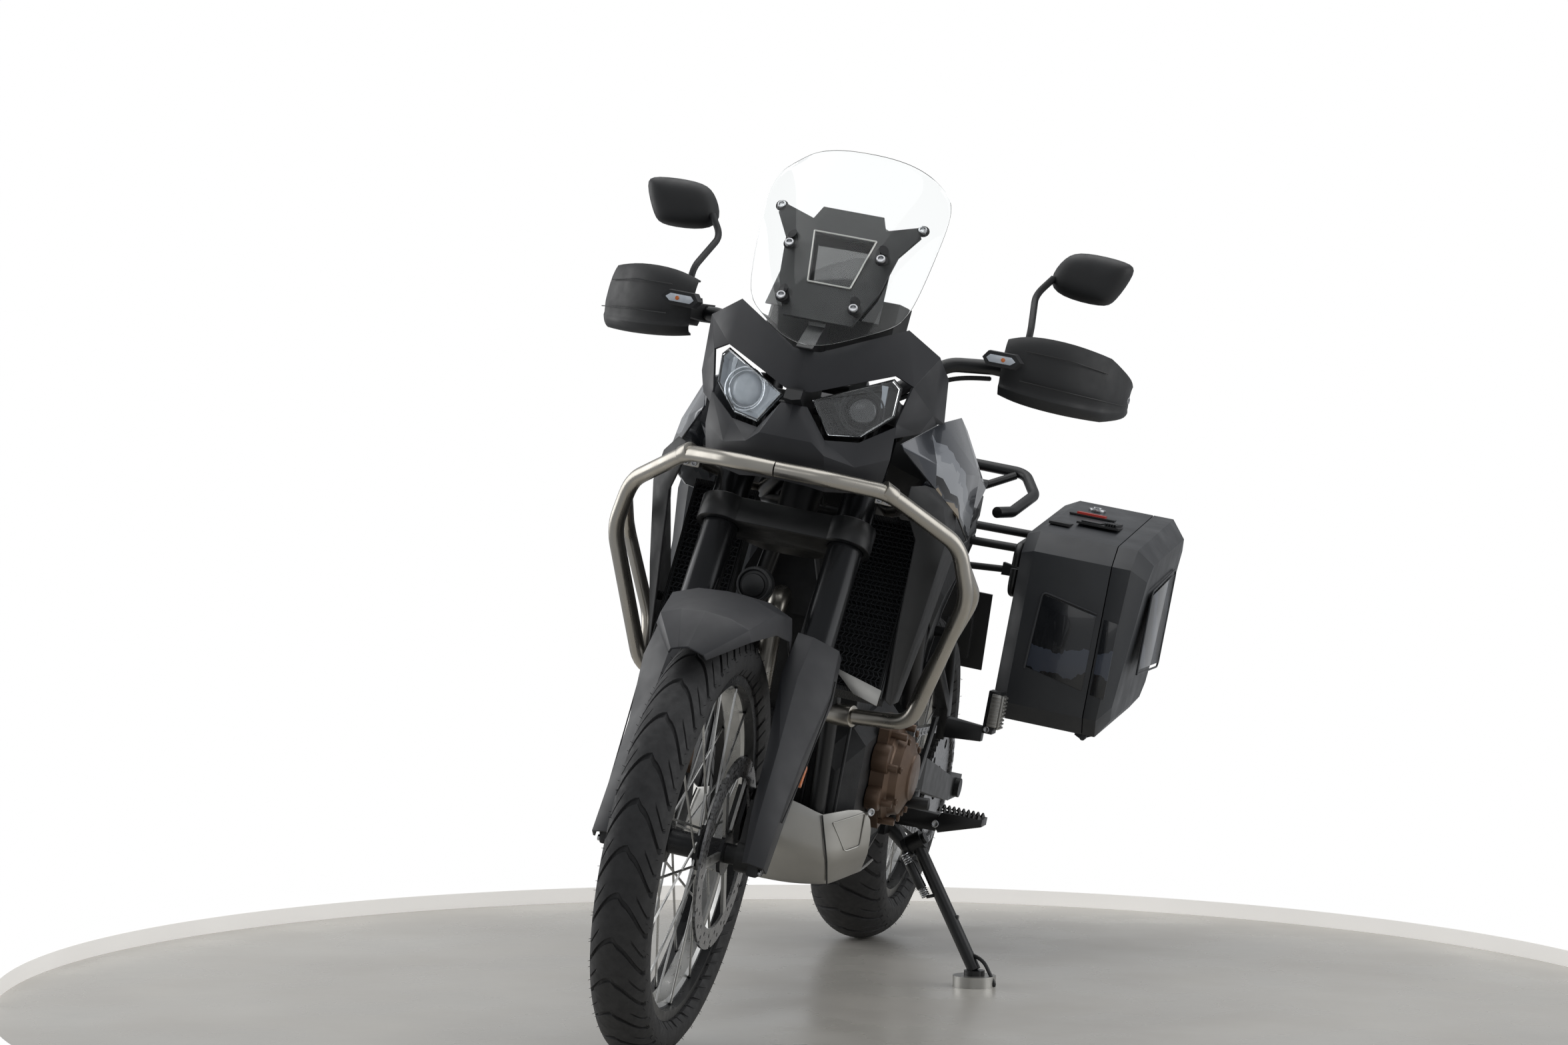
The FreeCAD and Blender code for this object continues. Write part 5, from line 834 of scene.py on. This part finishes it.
def skins():
    """The clear screen, the belly plate, and the raised outline and seam on each of its wings."""
    screen = dress(sheet(across_middle(SCREEN), 4, levels=3), "clear_screen", "root", "screen", 60)
    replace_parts(screen, "windscreen")
    creased = (("column", 1), ("column", 5), ("row", 1), ("row", 2))
    plate = dress(sheet(across_middle(SKID), 4, creased, forward=1), "belly_plate", "root", "aluminium", 40)
    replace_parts(plate, "skid_plate")
    wing = (SKID[0][2], SKID[0][3], SKID[1][3], SKID[1][2])
    raised = [on_patch(wing, u, v) for u, v in ((0.18, 0.22), (0.80, 0.16), (0.76, 0.80), (0.42, 0.86))]
    square = (raised[1] - raised[0]).cross(raised[3] - raised[0]).normalized()
    square *= -1 if square.y > 0 else 1
    rim = bent([p + square * 0.5 for p in raised + raised[:1]], 1.3, 6, 8)
    dress(both(rim), "belly_plate_bead", "root", "aluminium")
    seam = bent([Vector(row[2]) + Vector((0, -3, 0)) for row in SKID[:3]], 1.5, 10, 8)
    dress(both(seam), "belly_plate_seam", "root", "rubber")
    screw_heads("belly_plate_screws", "root", on_each_side((44, 452, 330), (0, -1, 0), 8, 5)
                + on_each_side((178, 552, 386), (0.7, -0.7, 0), 7, 5))


def handguards():
    """Shells with two raised lines, their end screws and the indicators on their inner ends."""
    rows = []
    for x, y, low, crease, top in GUARD:
        tall = top - low
        rows.append([(x - 4, y + 24, low + 2), (x, y + 4, low), (x, y - 7, low + tall * 0.16),
                     (x, y - 4, low + tall * 0.22), (x, y - 10, crease), (x, y - 2, top - tall * 0.12),
                     (x, y + 10, top), (x - 3, y + 26, top - 2)])
    creased = (("column", 2), ("column", 3), ("column", 4), ("column", 6), ("row", 0), ("row", 3))
    shell = dress(both(sheet(rows, 3.5, creased, forward=1)), "hand_shells", "steering", "polypropylene", 32)
    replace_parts(shell, "handguards")
    # Raised lines: share of the height, distance ahead of the column's y, columns that each spans
    lines = [bent([(x, y - ahead, low + (top - low) * lift) for x, y, low, crease, top in GUARD[1:last]],
                  1.0, 20, 6) for lift, ahead, last in ((0.34, 11, 5), (0.76, 7, 4))]
    dress(both(join(lines)), "hand_shell_beads", "steering", "powder")
    screw_heads("hand_shell_screws", "steering", on_each_side((464, 640, 1158), (1, -0.2, 0), 6, 4))
    lens = slab([(279 + x, 403, 1188 + z) for x, z in ((-24, 0), (-18, 6.5), (18, 6.5), (26, 0), (18, -6.5),
                                                       (-18, -6.5))], (0, -2.5, 0), 0.8)
    dress(both(lens), "indicator_lenses", "steering", "guide")
    spot = cylinder((284, 402, 1188), (284, 399.4, 1188), 3.6, 16, 0.6)
    dress(both(spot), "indicator_spots", "steering", "amber")


MIRROR_MIDDLE = (366, 1350)
MIRROR_OUTLINE = ((296, 1336), (318, 1380), (345, 1392), (425, 1388), (437, 1376), (410, 1318), (395, 1308),
                  (318, 1312))


def mirrors():
    """Crowned pods on bent stems with their glasses."""
    middle_x, middle_z = MIRROR_MIDDLE

    def loops(pairs):
        """The outline at a share of its size, at each y."""
        return [[(middle_x + (x - middle_x) * share, y, middle_z + (z - middle_z) * share)
                 for x, z in MIRROR_OUTLINE] for share, y in pairs]

    pod = bridge(loops(((1.04, 636), (1.06, 634), (1.06, 622), (0.95, 606), (0.72, 598), (0.35, 594))))
    modify(pod, "SUBSURF", levels=2, render_levels=2)
    foot = Vector((295.7, 514.3, 1182.9))
    stem = bent([foot, foot + Vector((4, 6, 58)), (282, 600, 1306), (306, 610, 1340)], 6, 22, 16)
    base = cylinder(foot - Vector((0, 0, 4)), foot + Vector((0, 0, 24)), 10, 24, 2)
    nut = cylinder(foot + Vector((0, 0, 24)), foot + Vector((0.6, 1, 34)), 8.5, 6, 1)
    shell = dress(both(join([pod, stem, base, nut])), "mirror_pods", "steering", "polypropylene", 50)
    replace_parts(shell, "mirrors")
    glass = bridge(loops(((1.0, 635), (0.97, 636.5), (0.5, 636.5))))
    modify(glass, "SUBSURF", levels=2, render_levels=2)
    dress(both(glass), "mirror_glasses", "steering", "mirror")


# Crash bars: centre lines of the main tube and of the brace behind it
BAR_MAIN = ((0, 140, 950), (74, 147, 950), (171, 226, 944), (284, 330, 876), (308, 362, 790), (238, 436, 562),
            (128, 476, 548))
BAR_BRACE = ((292, 340, 850), (306, 440, 790), (246, 470, 640), (238, 442, 585))


def crash_bars():
    """Bent stainless tubes with their sleeves, stays and feet."""
    half = bent(BAR_MAIN[::-1], 13.5, 30, 24)
    brace = bent(BAR_BRACE, 11.5, 28, 20)
    foot = cylinder((134, 474, 549), (88, 488, 545), 19, 28, 2)
    stay = bent([(176, 238, 936), (178, 330, 928), (160, 460, 908), (104, 540, 892)], 8, 50, 16)
    bars = dress(both(join([half, brace, foot, stay])), "guard_tubes", "root", "steel", 40)
    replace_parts(bars, "crash_bars")
    start, end = Vector(BAR_MAIN[2]), Vector(BAR_MAIN[3])
    ahead = (end - start).normalized()
    sleeves = [cylinder(start - ahead * 12, start + ahead * 14, 15.2, 28, 1.2),
               block((150, 236, 922), (178, 262, 938), 2.0)]
    dress(both(join(sleeves)), "guard_sleeves", "root", "steel")
    screw_heads("guard_screws", "root", on_each_side((158, 234, 929), (0, -1, 0), 5, 5)
                + on_each_side((172, 234, 929), (0, -1, 0), 5, 5))


# Radiators

RADIATOR_LOW, RADIATOR_HIGH = Vector((0, 339, 600)), Vector((0, 447, 890))
RADIATOR_MIDDLE, NET_WIDTH, NET_HEIGHT = 147, 100, 290
NET_COLUMNS, NET_ROWS = 12, 36


def radiator_mesh():
    """Staggered wire mesh over each radiator."""
    tilt = (RADIATOR_HIGH - RADIATOR_LOW).normalized()
    ahead = Vector((0, -tilt.z, tilt.y))
    bpy.ops.mesh.primitive_grid_add(x_subdivisions=NET_COLUMNS, y_subdivisions=NET_ROWS, size=1)
    net = bpy.context.object
    for vertex in net.data.vertices:
        row = round((vertex.co.y + 0.5) * NET_ROWS)
        stagger = (0.25 if row % 2 else -0.25) / NET_COLUMNS
        at_edge = abs(vertex.co.x) > 0.499
        x = RADIATOR_MIDDLE + NET_WIDTH * (vertex.co.x + (0 if at_edge else stagger))
        up = RADIATOR_LOW + tilt * (10 + NET_HEIGHT * (vertex.co.y + 0.5))
        vertex.co = Vector((x, up.y, up.z)) + ahead * 12.5
    modify(net, "WIREFRAME", thickness=3.0, use_even_offset=False)
    dress(both(net), "radiator_net", "root", "case")


# Cases

CASE_SPLIT, CASE_FRONT = 400, 1299
LEFT_DEPTH, RIGHT_DEPTH = 176, 134
# Height of a box's top at its front edge, where that edge lies, and how it climbs to the rear
TOP_HEIGHT, TOP_FRONT, TOP_SLOPE = 876, 1334, 54.4 / 412


def case_top(y):
    return TOP_HEIGHT + (y - TOP_FRONT) * TOP_SLOPE


def case_details(side, depth, name):
    """Lock, latch and slider with their recesses on a box's top; inlays and raised lines elsewhere."""
    def on_box(piece, label, finish):
        """Dresses a piece drawn on the left case, on this side's box or lid."""
        if side < 0:
            piece.data.transform(MIRROR)
            piece.data.flip_normals()
        dress(piece, label + name, "lid_" + name if label.startswith("lid") else "root", finish)

    def in_from_split(distance):
        return CASE_SPLIT - distance * depth / LEFT_DEPTH

    def raised(inner, outer, y, half, low, high, edge=1.5):
        """A block on the top, between two distances in from the split, half its length each way from y."""
        piece = block((in_from_split(inner), y - half, 0), (in_from_split(outer), y + half, 1), 0.01)
        piece.data.transform(Matrix.Diagonal((1, 1, high - low, 1)))
        ease(piece, edge, 50)
        piece.data.transform(Matrix.Translation((0, 0, low + case_top(y))))
        return piece

    lock_y, slider_y, latch_y, catch_y = 1664, 1592, 1512, 1446
    lock = Vector((in_from_split(100), lock_y, case_top(lock_y)))
    up = Vector((0, 0, 1))
    on_box(join([cylinder(lock - up * 2, lock + up * 5, 17, 32, 1.5),
                 cylinder(lock + up * 4, lock + up * 8, 9, 24, 1)]), "case_lock_", "zinc")
    on_box(join([raised(106, 24, latch_y, 50, -1, 3), raised(152, 112, catch_y, 26, -1, 4),
                 raised(140, 50, slider_y, 18, -1, 2)]), "case_recess_", "polypropylene")
    ribs = [raised(52 - k * 5, 49 - k * 5, latch_y, 44, 3, 9, 0.8) for k in range(5)]
    on_box(join([raised(98, 60, latch_y, 42, 3, 6)] + ribs), "case_latch_", "powder")
    on_box(raised(126, 70, slider_y, 14, 1, 6), "case_slider_", "red")
    # On the lid: a raised line round its face's inlay, and a second inlay on its front edge
    bead = [(CASE_SPLIT + 73, y, z) for y, z in ((1400, 640), (1400, 800), (1690, 838), (1690, 640),
                                                 (1400, 640))]
    on_box(bent(bead, 2.0, 18, 8), "lid_bead_", "case")
    face = slab([(CASE_SPLIT + 72, y, z) for y, z in ((1408, 648), (1682, 648), (1682, 828), (1408, 792))],
                (1.6, 0, 0), 0.6)
    edge = slab([(CASE_SPLIT + out, CASE_FRONT, z) for out, z in ((6, 592), (34, 588), (34, 734), (6, 738))],
                (0, 2.5, 0), 0.8)
    on_box(join([face, edge]), "lid_inlay_", "inlay")
    # On the box's front: an inlay with a raised line on three sides
    far = CASE_SPLIT - depth
    inlay = slab([(x, CASE_FRONT, z) for x, z in ((far + 52, 620), (CASE_SPLIT - 10, 596),
                                                  (CASE_SPLIT - 10, 740), (far + 60, 762))],
                 (0, 2.5, 0), 1.0)
    on_box(inlay, "case_inlay_", "inlay")
    line = [(x, CASE_FRONT, z) for x, z in ((far + 50, 617), (far + 57, 766), (CASE_SPLIT - 9, 744))]
    on_box(bent(line, 2.2, 12, 8), "case_bead_", "case")


# Seats

STRETCH_FRAMES, FURTHEST = 12, 6 * MM


def stretch(piece):
    """Air pressure fills the cover like foam under vinyl; no point moves further than FURTHEST."""
    before = [v.co.copy() for v in piece.data.vertices]
    alone(piece)
    cover = piece.modifiers.new("cover", "CLOTH")
    cover.settings.use_pressure = True
    cover.settings.uniform_pressure_force = 4
    cover.settings.effector_weights.gravity = 0
    cover.settings.quality = 3
    cover.point_cache.frame_start, cover.point_cache.frame_end = 1, STRETCH_FRAMES
    for step in range(1, STRETCH_FRAMES + 1):
        bpy.context.scene.frame_set(step)
    bpy.ops.object.modifier_apply(modifier=cover.name)
    bpy.context.scene.frame_set(1)
    for vertex, start in zip(piece.data.vertices, before):
        moved = vertex.co - start
        if moved.length > FURTHEST:
            vertex.co = start + moved.normalized() * FURTHEST


def seat(node, name, seams):
    """The seat's foam under a stretched vinyl cover with cross seams."""
    piece, body = drawn_copy(node)
    modify(piece, "REMESH", mode="VOXEL", voxel_size=9 * MM)
    modify(piece, "SMOOTH", factor=0.5, iterations=12)
    stretch(piece)
    modify(piece, "SUBSURF", levels=1, render_levels=1)
    inverse = BIKE.inverted()
    for vertex in piece.data.vertices:
        place = inverse @ vertex.co / MM
        sink = 0.0
        for y in seams:
            # A seam 3 mm deep that curves a little; the second term steepens its sides
            off = abs(place.y + 0.04 * abs(place.x) - y)
            sink = max(sink, 3.0 * math.exp(-(off / 4) ** 2) - 1.2 * math.exp(-((off - 11) / 6) ** 2))
        vertex.co -= vertex.normal * sink * MM
    dress(piece, name, body, "vinyl", 60, in_row=True)
    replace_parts(piece, node)


# Running gear details

FORK_FOOT = Vector((0, 53.2, 319.8))
FORK_BACK, FORK_UP = Vector((0, 0.887, -0.4617)), Vector((0, 0.4617, 0.887))


def fork_point(x, y, along):
    """From the fork's frame: y square to the legs, along them from the axle's foot."""
    return FORK_FOOT + Vector((x, 0, 0)) + FORK_BACK * y + FORK_UP * along


def fork_details():
    """Seams of the guards, axle clamps with their screws, fork caps and amber reflectors."""
    seam = bent([fork_point(156, -40, 330), fork_point(158.6, -42, 300), fork_point(152.5, -50, 180),
                 fork_point(144.5, -68, 66)], 1.2, 10, 8)
    dress(both(seam), "fork_guard_seams", "steering", "rubber")
    clamps = [block((112, -24, 322), (131, 26, 372), 4, 3),
              cylinder((118, 0, FRONT_AXLE_Z), (133, 0, FRONT_AXLE_Z), 21, 32, 2),
              block((112, 20, 330), (126, 48, 356), 3), cylinder((119, 36, 318), (119, 36, 368), 7, 14, 1)]
    dress(both(join(clamps)), "axle_clamps", "steering", "casting")
    pinch = ((-17, 330), (-17, 364), (19, 364), (19, 330))
    screw_heads("pinch_screws", "steering", [row for y, z in pinch
                                             for row in on_each_side((131, y, z), (1, 0, 0), 5, 4)])
    screw_heads("axle_screws", "steering", on_each_side((133, 0, FRONT_AXLE_Z), (1, 0, 0), 12, 5))
    screw_heads("fork_caps", "steering", on_each_side(fork_point(107, -35, 843), FORK_UP, 14, 4))
    plate = slab([(139, y, z) for y, z in ((96, 466), (105, 459), (129, 489), (120, 496))], (8, 0, 0), 1.5)
    dress(both(plate), "fork_reflectors", "steering", "amber")


# Chain, stand, engine and controls

def middle_of(node):
    """Middle of a CAD node's box, in the bike frame."""
    low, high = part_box(node)
    return BIKE.inverted() @ ((low + high) / 2) / MM


def stand_details():
    """Sleeved spring with its tab, foot tang and stop of the side stand."""
    leg_top, leg_foot = Vector((190, 985, 292)), middle_of("stand_plate")
    run = (leg_foot - leg_top).normalized()
    start, end = Vector((176, 968, 268)), leg_top + run * 104 + Vector((-20, -6, -8))
    along = end - start
    side = along.cross(Vector((0, 1, 0))).normalized()
    other = along.normalized().cross(side)
    turns, steps = 5, 10
    coils = []
    # The coils show at the two ends of the sleeve: share of the way where each begins and stops
    for first, last in ((0.0, 0.24), (0.78, 1.0)):
        points = []
        for k in range(turns * steps + 1):
            turn = 2 * math.pi * k / steps
            points.append(start + along * (first + (last - first) * k / (turns * steps))
                          + (side * math.cos(turn) + other * math.sin(turn)) * 7.5)
        coils.append(tube(points, 1.5, 6))
    dress(join(coils), "stand_spring", "side_stand", "zinc")
    sleeve = cylinder(start + along * 0.22, start + along * 0.8, 9.2, 20, 1.5)
    tab = cylinder(end, leg_top + run * 104, 3.2, 10)
    tang = bent([leg_foot - run * 62, leg_foot - run * 40 + Vector((34, -10, 8)),
                 leg_foot + Vector((44, -12, -2)), leg_foot - run * 14 + Vector((4, -4, 2))], 3.6, 14, 10)
    stop = block((-5, -8, -10), (5, 8, 10), 2)
    stop.data.transform(Matrix.Translation(leg_top + run * 158 + Vector((9, 0, 5))))
    dress(join([sleeve, tab, tang, stop]), "stand_fittings", "side_stand", "powder")


CHAIN_PITCH, CHAIN_LINE = 15.875, 98
# Height of the rollers' centres over each sprocket's tips
OVER_TIPS = 8.0
# The sprockets: middle, and radius of the rollers' path
FRONT_SPROCKET = Vector((0, 890, 424)), 42 + OVER_TIPS
REAR_SPROCKET = Vector((0, WHEELBASE, REAR_AXLE_Z)), 106 + OVER_TIPS


def chain_links():
    """Side plates and rollers of the drive chain, along its two runs and round both sprockets."""
    (front, small), (rear, large) = FRONT_SPROCKET, REAR_SPROCKET
    span = rear - front
    base = math.atan2(span.z, span.y)
    spread = math.acos((small - large) / span.length)
    run = math.sqrt(span.length ** 2 - (small - large) ** 2)
    # Lengths of the loop's stretches: upper run, rear arc, lower run, front arc
    lengths = (run, large * 2 * spread, run, small * 2 * (math.pi - spread))
    total = sum(lengths)
    links = 2 * round(total / CHAIN_PITCH / 2)
    pitch = total / links

    def on_circle(middle, radius, turn):
        return middle + Vector((0, math.cos(turn), math.sin(turn))) * radius

    def at(distance):
        """The point of the loop at a distance along it."""
        distance %= total
        up, down = base + spread, base - spread
        if distance < lengths[0]:
            return on_circle(front, small, up).lerp(on_circle(rear, large, up), distance / lengths[0])
        distance -= lengths[0]
        if distance < lengths[1]:
            return on_circle(rear, large, up - distance / large)
        distance -= lengths[1]
        if distance < lengths[2]:
            return on_circle(rear, large, down).lerp(on_circle(front, small, down), distance / lengths[2])
        return on_circle(front, small, down - (distance - lengths[2]) / small)

    bpy.ops.mesh.primitive_cylinder_add(vertices=10, radius=6.4, depth=1.6)
    plate = apply_place(bpy.context.object)
    plate.data.transform(Matrix.Diagonal((1.72, 1, 1, 1)))
    across = Vector((1, 0, 0))
    places = []
    for k in range(links):
        a, b = at(k * pitch), at((k + 1) * pitch)
        along = (b - a).normalized()
        turn = Matrix((along, across.cross(along), across)).transposed().to_4x4()
        # Outer and inner plates take turns
        for side in (-1, 1):
            out = side * (8.2 if k % 2 else 6.4)
            places.append(Matrix.Translation((a + b) / 2 + across * (CHAIN_LINE + out)) @ turn)
    roller = cylinder((CHAIN_LINE - 9.4, 0, 0), (CHAIN_LINE + 9.4, 0, 0), 3.6, 10)
    rollers = [Matrix.Translation(at(k * pitch)) for k in range(links)]
    dress(join([repeat(plate, places), repeat(roller, rollers)]), "chain_links", "root", "disc")


def engine_details():
    """Screws and bosses of the bronze covers, coolant hoses, bright plate and ribs of the crankcase."""
    turns = [math.radians(t + 12) for t in range(0, 360, 45)]

    def left_cover(x, reach, turn):
        return Vector((x, 715 + reach * math.sin(turn), 440 + reach * math.cos(turn)))

    rows = []
    for turn in turns:
        rows.append((left_cover(198, 76, turn), (1, 0, 0), 6, 5))
        right = Vector((-192, 740 + 90 * math.sin(turn), 430 + 90 * math.cos(turn)))
        rows.append((right, (-1, 0, 0), 6, 5))
    screw_heads("cover_screws", "root", rows, "bronze")
    bosses = [cylinder(left_cover(160, 86, turn), left_cover(196, 84, turn), 7, 14, 1) for turn in turns]
    # Round plates of the left cover
    for inner, outer, y, z, radius, sides in ((196, 213, 715, 440, 42, 40), (150, 180, 640, 470, 26, 28),
                                              (150, 176, 640, 400, 22, 28)):
        bosses.append(cylinder((inner, y, z), (outer, y, z), radius, sides, 3))
    dress(join(bosses), "cover_bosses", "root", "bronze")
    low_hose = ((118, 372, 640), (104, 420, 610), (84, 486, 628), (60, 530, 640))
    hoses = [bent([(side * x, y, z) for x, y, z in low_hose], 13, 30, 16) for side in (1, -1)]
    hoses.append(bent([(134, 470, 860), (110, 500, 830), (80, 540, 800)], 13, 24, 16))
    dress(join(hoses), "coolant_hoses", "root", "rubber", 60)
    plate = slab([(112, 330, 640), (202, 330, 616), (200, 322, 590), (158, 322, 602)], (0, -3, 1), 0.8)
    dress(plate, "heat_plate", "root", "aluminium")
    ribs = [block((x, 519, 330), (x + 5, 529, 540), 1.5) for x in range(-120, 121, 30)]
    dress(join(ribs), "case_ribs", "root", "casting")


# Under the bar to its riser, and up the back of a leg
BAR_CABLE = ((244, 534, 1152), (212, 519, 1148), (178, 505, 1140), (140, 489, 1112), (104, 474, 1086),
             (72, 463, 1072), (52, 458, 1066))
BRAKE_HOSE = ((88, 60, 420), (86, 110, 560), (82, 190, 700), (82, 262, 806))


def controls():
    """Cables under the bar, brake hoses up the legs, horn behind the forks."""
    runs = []
    for side in (-1, 1):
        # Two cables, the thinner one behind
        for back, radius in ((0, 4), (9, 3)):
            runs.append(tube([(side * x, y + back, z) for x, y, z in BAR_CABLE], radius, 8))
        runs.append(tube([(side * x, y, z) for x, y, z in BRAKE_HOSE], 3.2, 8))
    dress(join(runs), "control_cables", "steering", "rubber", 60)
    horn = [cylinder((-8, 176, 757), (-8, 200, 757), 30, 40, 3),
            cylinder((-8, 170, 757), (-8, 178, 757), 19, 36, 2)]
    bpy.ops.mesh.primitive_torus_add(major_radius=26, minor_radius=2.2, major_segments=40, minor_segments=8)
    horn.append(put(bpy.context.object, (-8, 174, 757), (0, -1, 0)))
    horn.append(block((-16, 196, 750), (0, 250, 764), 2))
    dress(join(horn), "horn", "steering", "powder")


def pegs():
    """Teeth on the rider's pegs, bright treads on the folded rear pegs, pivot screws."""
    bpy.ops.mesh.primitive_cone_add(vertices=4, radius1=5.5, radius2=1.4, depth=8)
    tooth = apply_place(bpy.context.object)
    teeth = repeat(tooth, [Matrix.Translation((232 + k * 9, y, 369)) for k in range(9) for y in (922, 966)])
    dress(both(teeth), "peg_teeth", "root", "powder")
    treads = [block((260, 1186, 502), (266, 1218, 566), 1.5), block((244, 1175, 506), (262, 1181, 568), 1.5)]
    for k in range(9):
        treads.append(block((265, 1187, 504 + k * 7), (269, 1217, 507.5 + k * 7), 0.8))
        treads.append(block((246, 1172, 508 + k * 6.6), (263, 1176, 511.4 + k * 6.6), 0.8))
    dress(both(join(treads)), "passenger_treads", "root", "aluminium")
    screw_heads("peg_pivots", "root", on_each_side((229, 920, 341), (0, -1, 0), 7, 3)
                + on_each_side((245, 1178, 500), (0, -1, 0), 6, 3))


# Stage

# In metres of the row, as the lights and the camera are
FLOOR_MIDDLE, FLOOR_RADIUS, SKIRTING_HEIGHT = Vector((-0.0055, -0.059, 0)), 1.4756, 0.031


def stage():
    """Round pale floor, with a low skirting round it that is open towards the camera."""
    bpy.ops.mesh.primitive_circle_add(vertices=256, radius=FLOOR_RADIUS, fill_type="NGON",
                                      location=FLOOR_MIDDLE)
    floor = bpy.context.object
    floor.name = "studio_floor"
    select(floor, "FACE", lambda face: True)
    bpy.ops.mesh.inset(thickness=0.02)
    done()
    # Painted studio floor: pale warm grey, faintly clouded, a low sheen
    paint = Finish("painted_floor", "#C2BFB8", 0.30)
    paint.mottle("#B4B0A9", 400, 0.8).scuff(0.20, 0.38, 250)
    floor.data.materials.append(paint.material)
    apply_place(floor)
    bpy.ops.mesh.primitive_cylinder_add(vertices=256, radius=FLOOR_RADIUS, depth=SKIRTING_HEIGHT,
                                        end_fill_type="NOTHING",
                                        location=FLOOR_MIDDLE + Vector((0, 0, SKIRTING_HEIGHT / 2)))
    rim = apply_place(bpy.context.object)
    rim.name = "studio_skirting"
    select(rim, "FACE", lambda face: face.calc_center_median().y > -0.6)
    bpy.ops.mesh.select_all(action="INVERT")
    bpy.ops.mesh.delete(type="FACE")
    done()
    modify(rim, "SOLIDIFY", thickness=0.004, offset=1)
    # White paint with a faint glow of its own: painted light standing in for what the white wall throws on it
    edge = Finish("floor_edge_painted_glow", "#F4F2EF", 0.5, Emission_Color=(1, 0.98, 0.95, 1),
                  Emission_Strength=0.28)
    edge.mottle("#EAE8E4", 200, 0.6)
    rim.data.materials.append(edge.material)


def world():
    """White to the camera and to glass, a cool dim light to everything else."""
    surround = bpy.data.worlds.new("studio")
    bpy.context.scene.world = surround
    surround.use_nodes = True
    tree = surround.node_tree
    tree.nodes.clear()
    path = add(tree, "ShaderNodeLightPath").outputs
    seen = add(tree, "ShaderNodeMath", {0: path["Is Camera Ray"], 1: path["Is Transmission Ray"]},
               operation="MAXIMUM")
    white = add(tree, "ShaderNodeBackground", {"Color": (1, 1, 1, 1), "Strength": 1.0})
    light = add(tree, "ShaderNodeBackground", {"Color": (0.95, 0.97, 1, 1), "Strength": 0.42})
    mixed = add(tree, "ShaderNodeMixShader", {0: seen.outputs[0], 1: light.outputs[0], 2: white.outputs[0]})
    add(tree, "ShaderNodeOutputWorld", {"Surface": mixed.outputs[0]})


def softbox(name, place, target, size, power):
    lamp = bpy.data.lights.new(name, "AREA")
    lamp.shape = "RECTANGLE"
    lamp.size, lamp.size_y = size
    lamp.energy = power
    holder = bpy.data.objects.new(name, lamp)
    holder.location = place
    holder.rotation_euler = (Vector(target) - Vector(place)).to_track_quat("-Z", "Y").to_euler()
    bpy.context.scene.collection.objects.link(holder)


def lights():
    """Four soft boxes, each with its place, target, width and height, and power in watts."""
    softbox("overhead_box", (0, 0.4, 4.0), (0, 0.2, 0.6), (4.2, 4.6), 85)
    softbox("left_box", (3.8, 0.2, 1.6), (0, 0, 0.8), (3.0, 3.0), 42)
    softbox("right_box", (-3.8, 0.4, 1.8), (0, 0, 0.8), (3.0, 3.0), 60)
    softbox("front_fill", (0.6, -5.0, 2.6), (0, -0.4, 0.8), (3.0, 1.6), 9)


def camera():
    """The photograph's view: lens in millimetres on a 36 mm frame, angles in degrees."""
    lens, yaw, pitch, roll = 86.3, 13.42, 1.06, -0.61
    place = Vector((1.41413, -6.51259, 0.961))
    turn = Matrix.Rotation(math.radians(yaw), 3, "Z") @ Matrix.Rotation(math.radians(-pitch), 3, "X")
    right, ahead, up = turn.col
    tilt = Matrix.Rotation(math.radians(roll), 3, ahead)
    right, up = tilt @ right, tilt @ up
    eye = bpy.data.cameras.new("photo_view")
    eye.lens, eye.sensor_width = lens, 36
    eye.clip_start, eye.clip_end = 0.1, 50
    holder = bpy.data.objects.new("photo_view", eye)
    holder.matrix_world = Matrix.Translation(place) @ Matrix((right, up, -ahead)).transposed().to_4x4()
    bpy.context.scene.collection.objects.link(holder)
    bpy.context.scene.camera = holder


for node, finish in NODE_FINISH.items():
    materials = frame["nodes"][node].data.materials
    materials.clear()
    materials.append(LOOKS[finish].material)
for node, look in ROUNDED.items():
    rounded_copy(node, *look)
tyres()
screen_details()
display()
lamps()
radiator_mesh()
case_details(1, LEFT_DEPTH, "left")
case_details(-1, RIGHT_DEPTH, "right")
seat("rider_seat", "rider_saddle", (950, 1090))
seat("passenger_seat", "passenger_saddle", (1240, 1420))
fork_details()
stand_details()
chain_links()
skins()
handguards()
mirrors()
crash_bars()
engine_details()
controls()
pegs()
vent_insert()
stage()
world()
lights()
camera()
bpy.context.scene.view_settings.view_transform = "Standard"
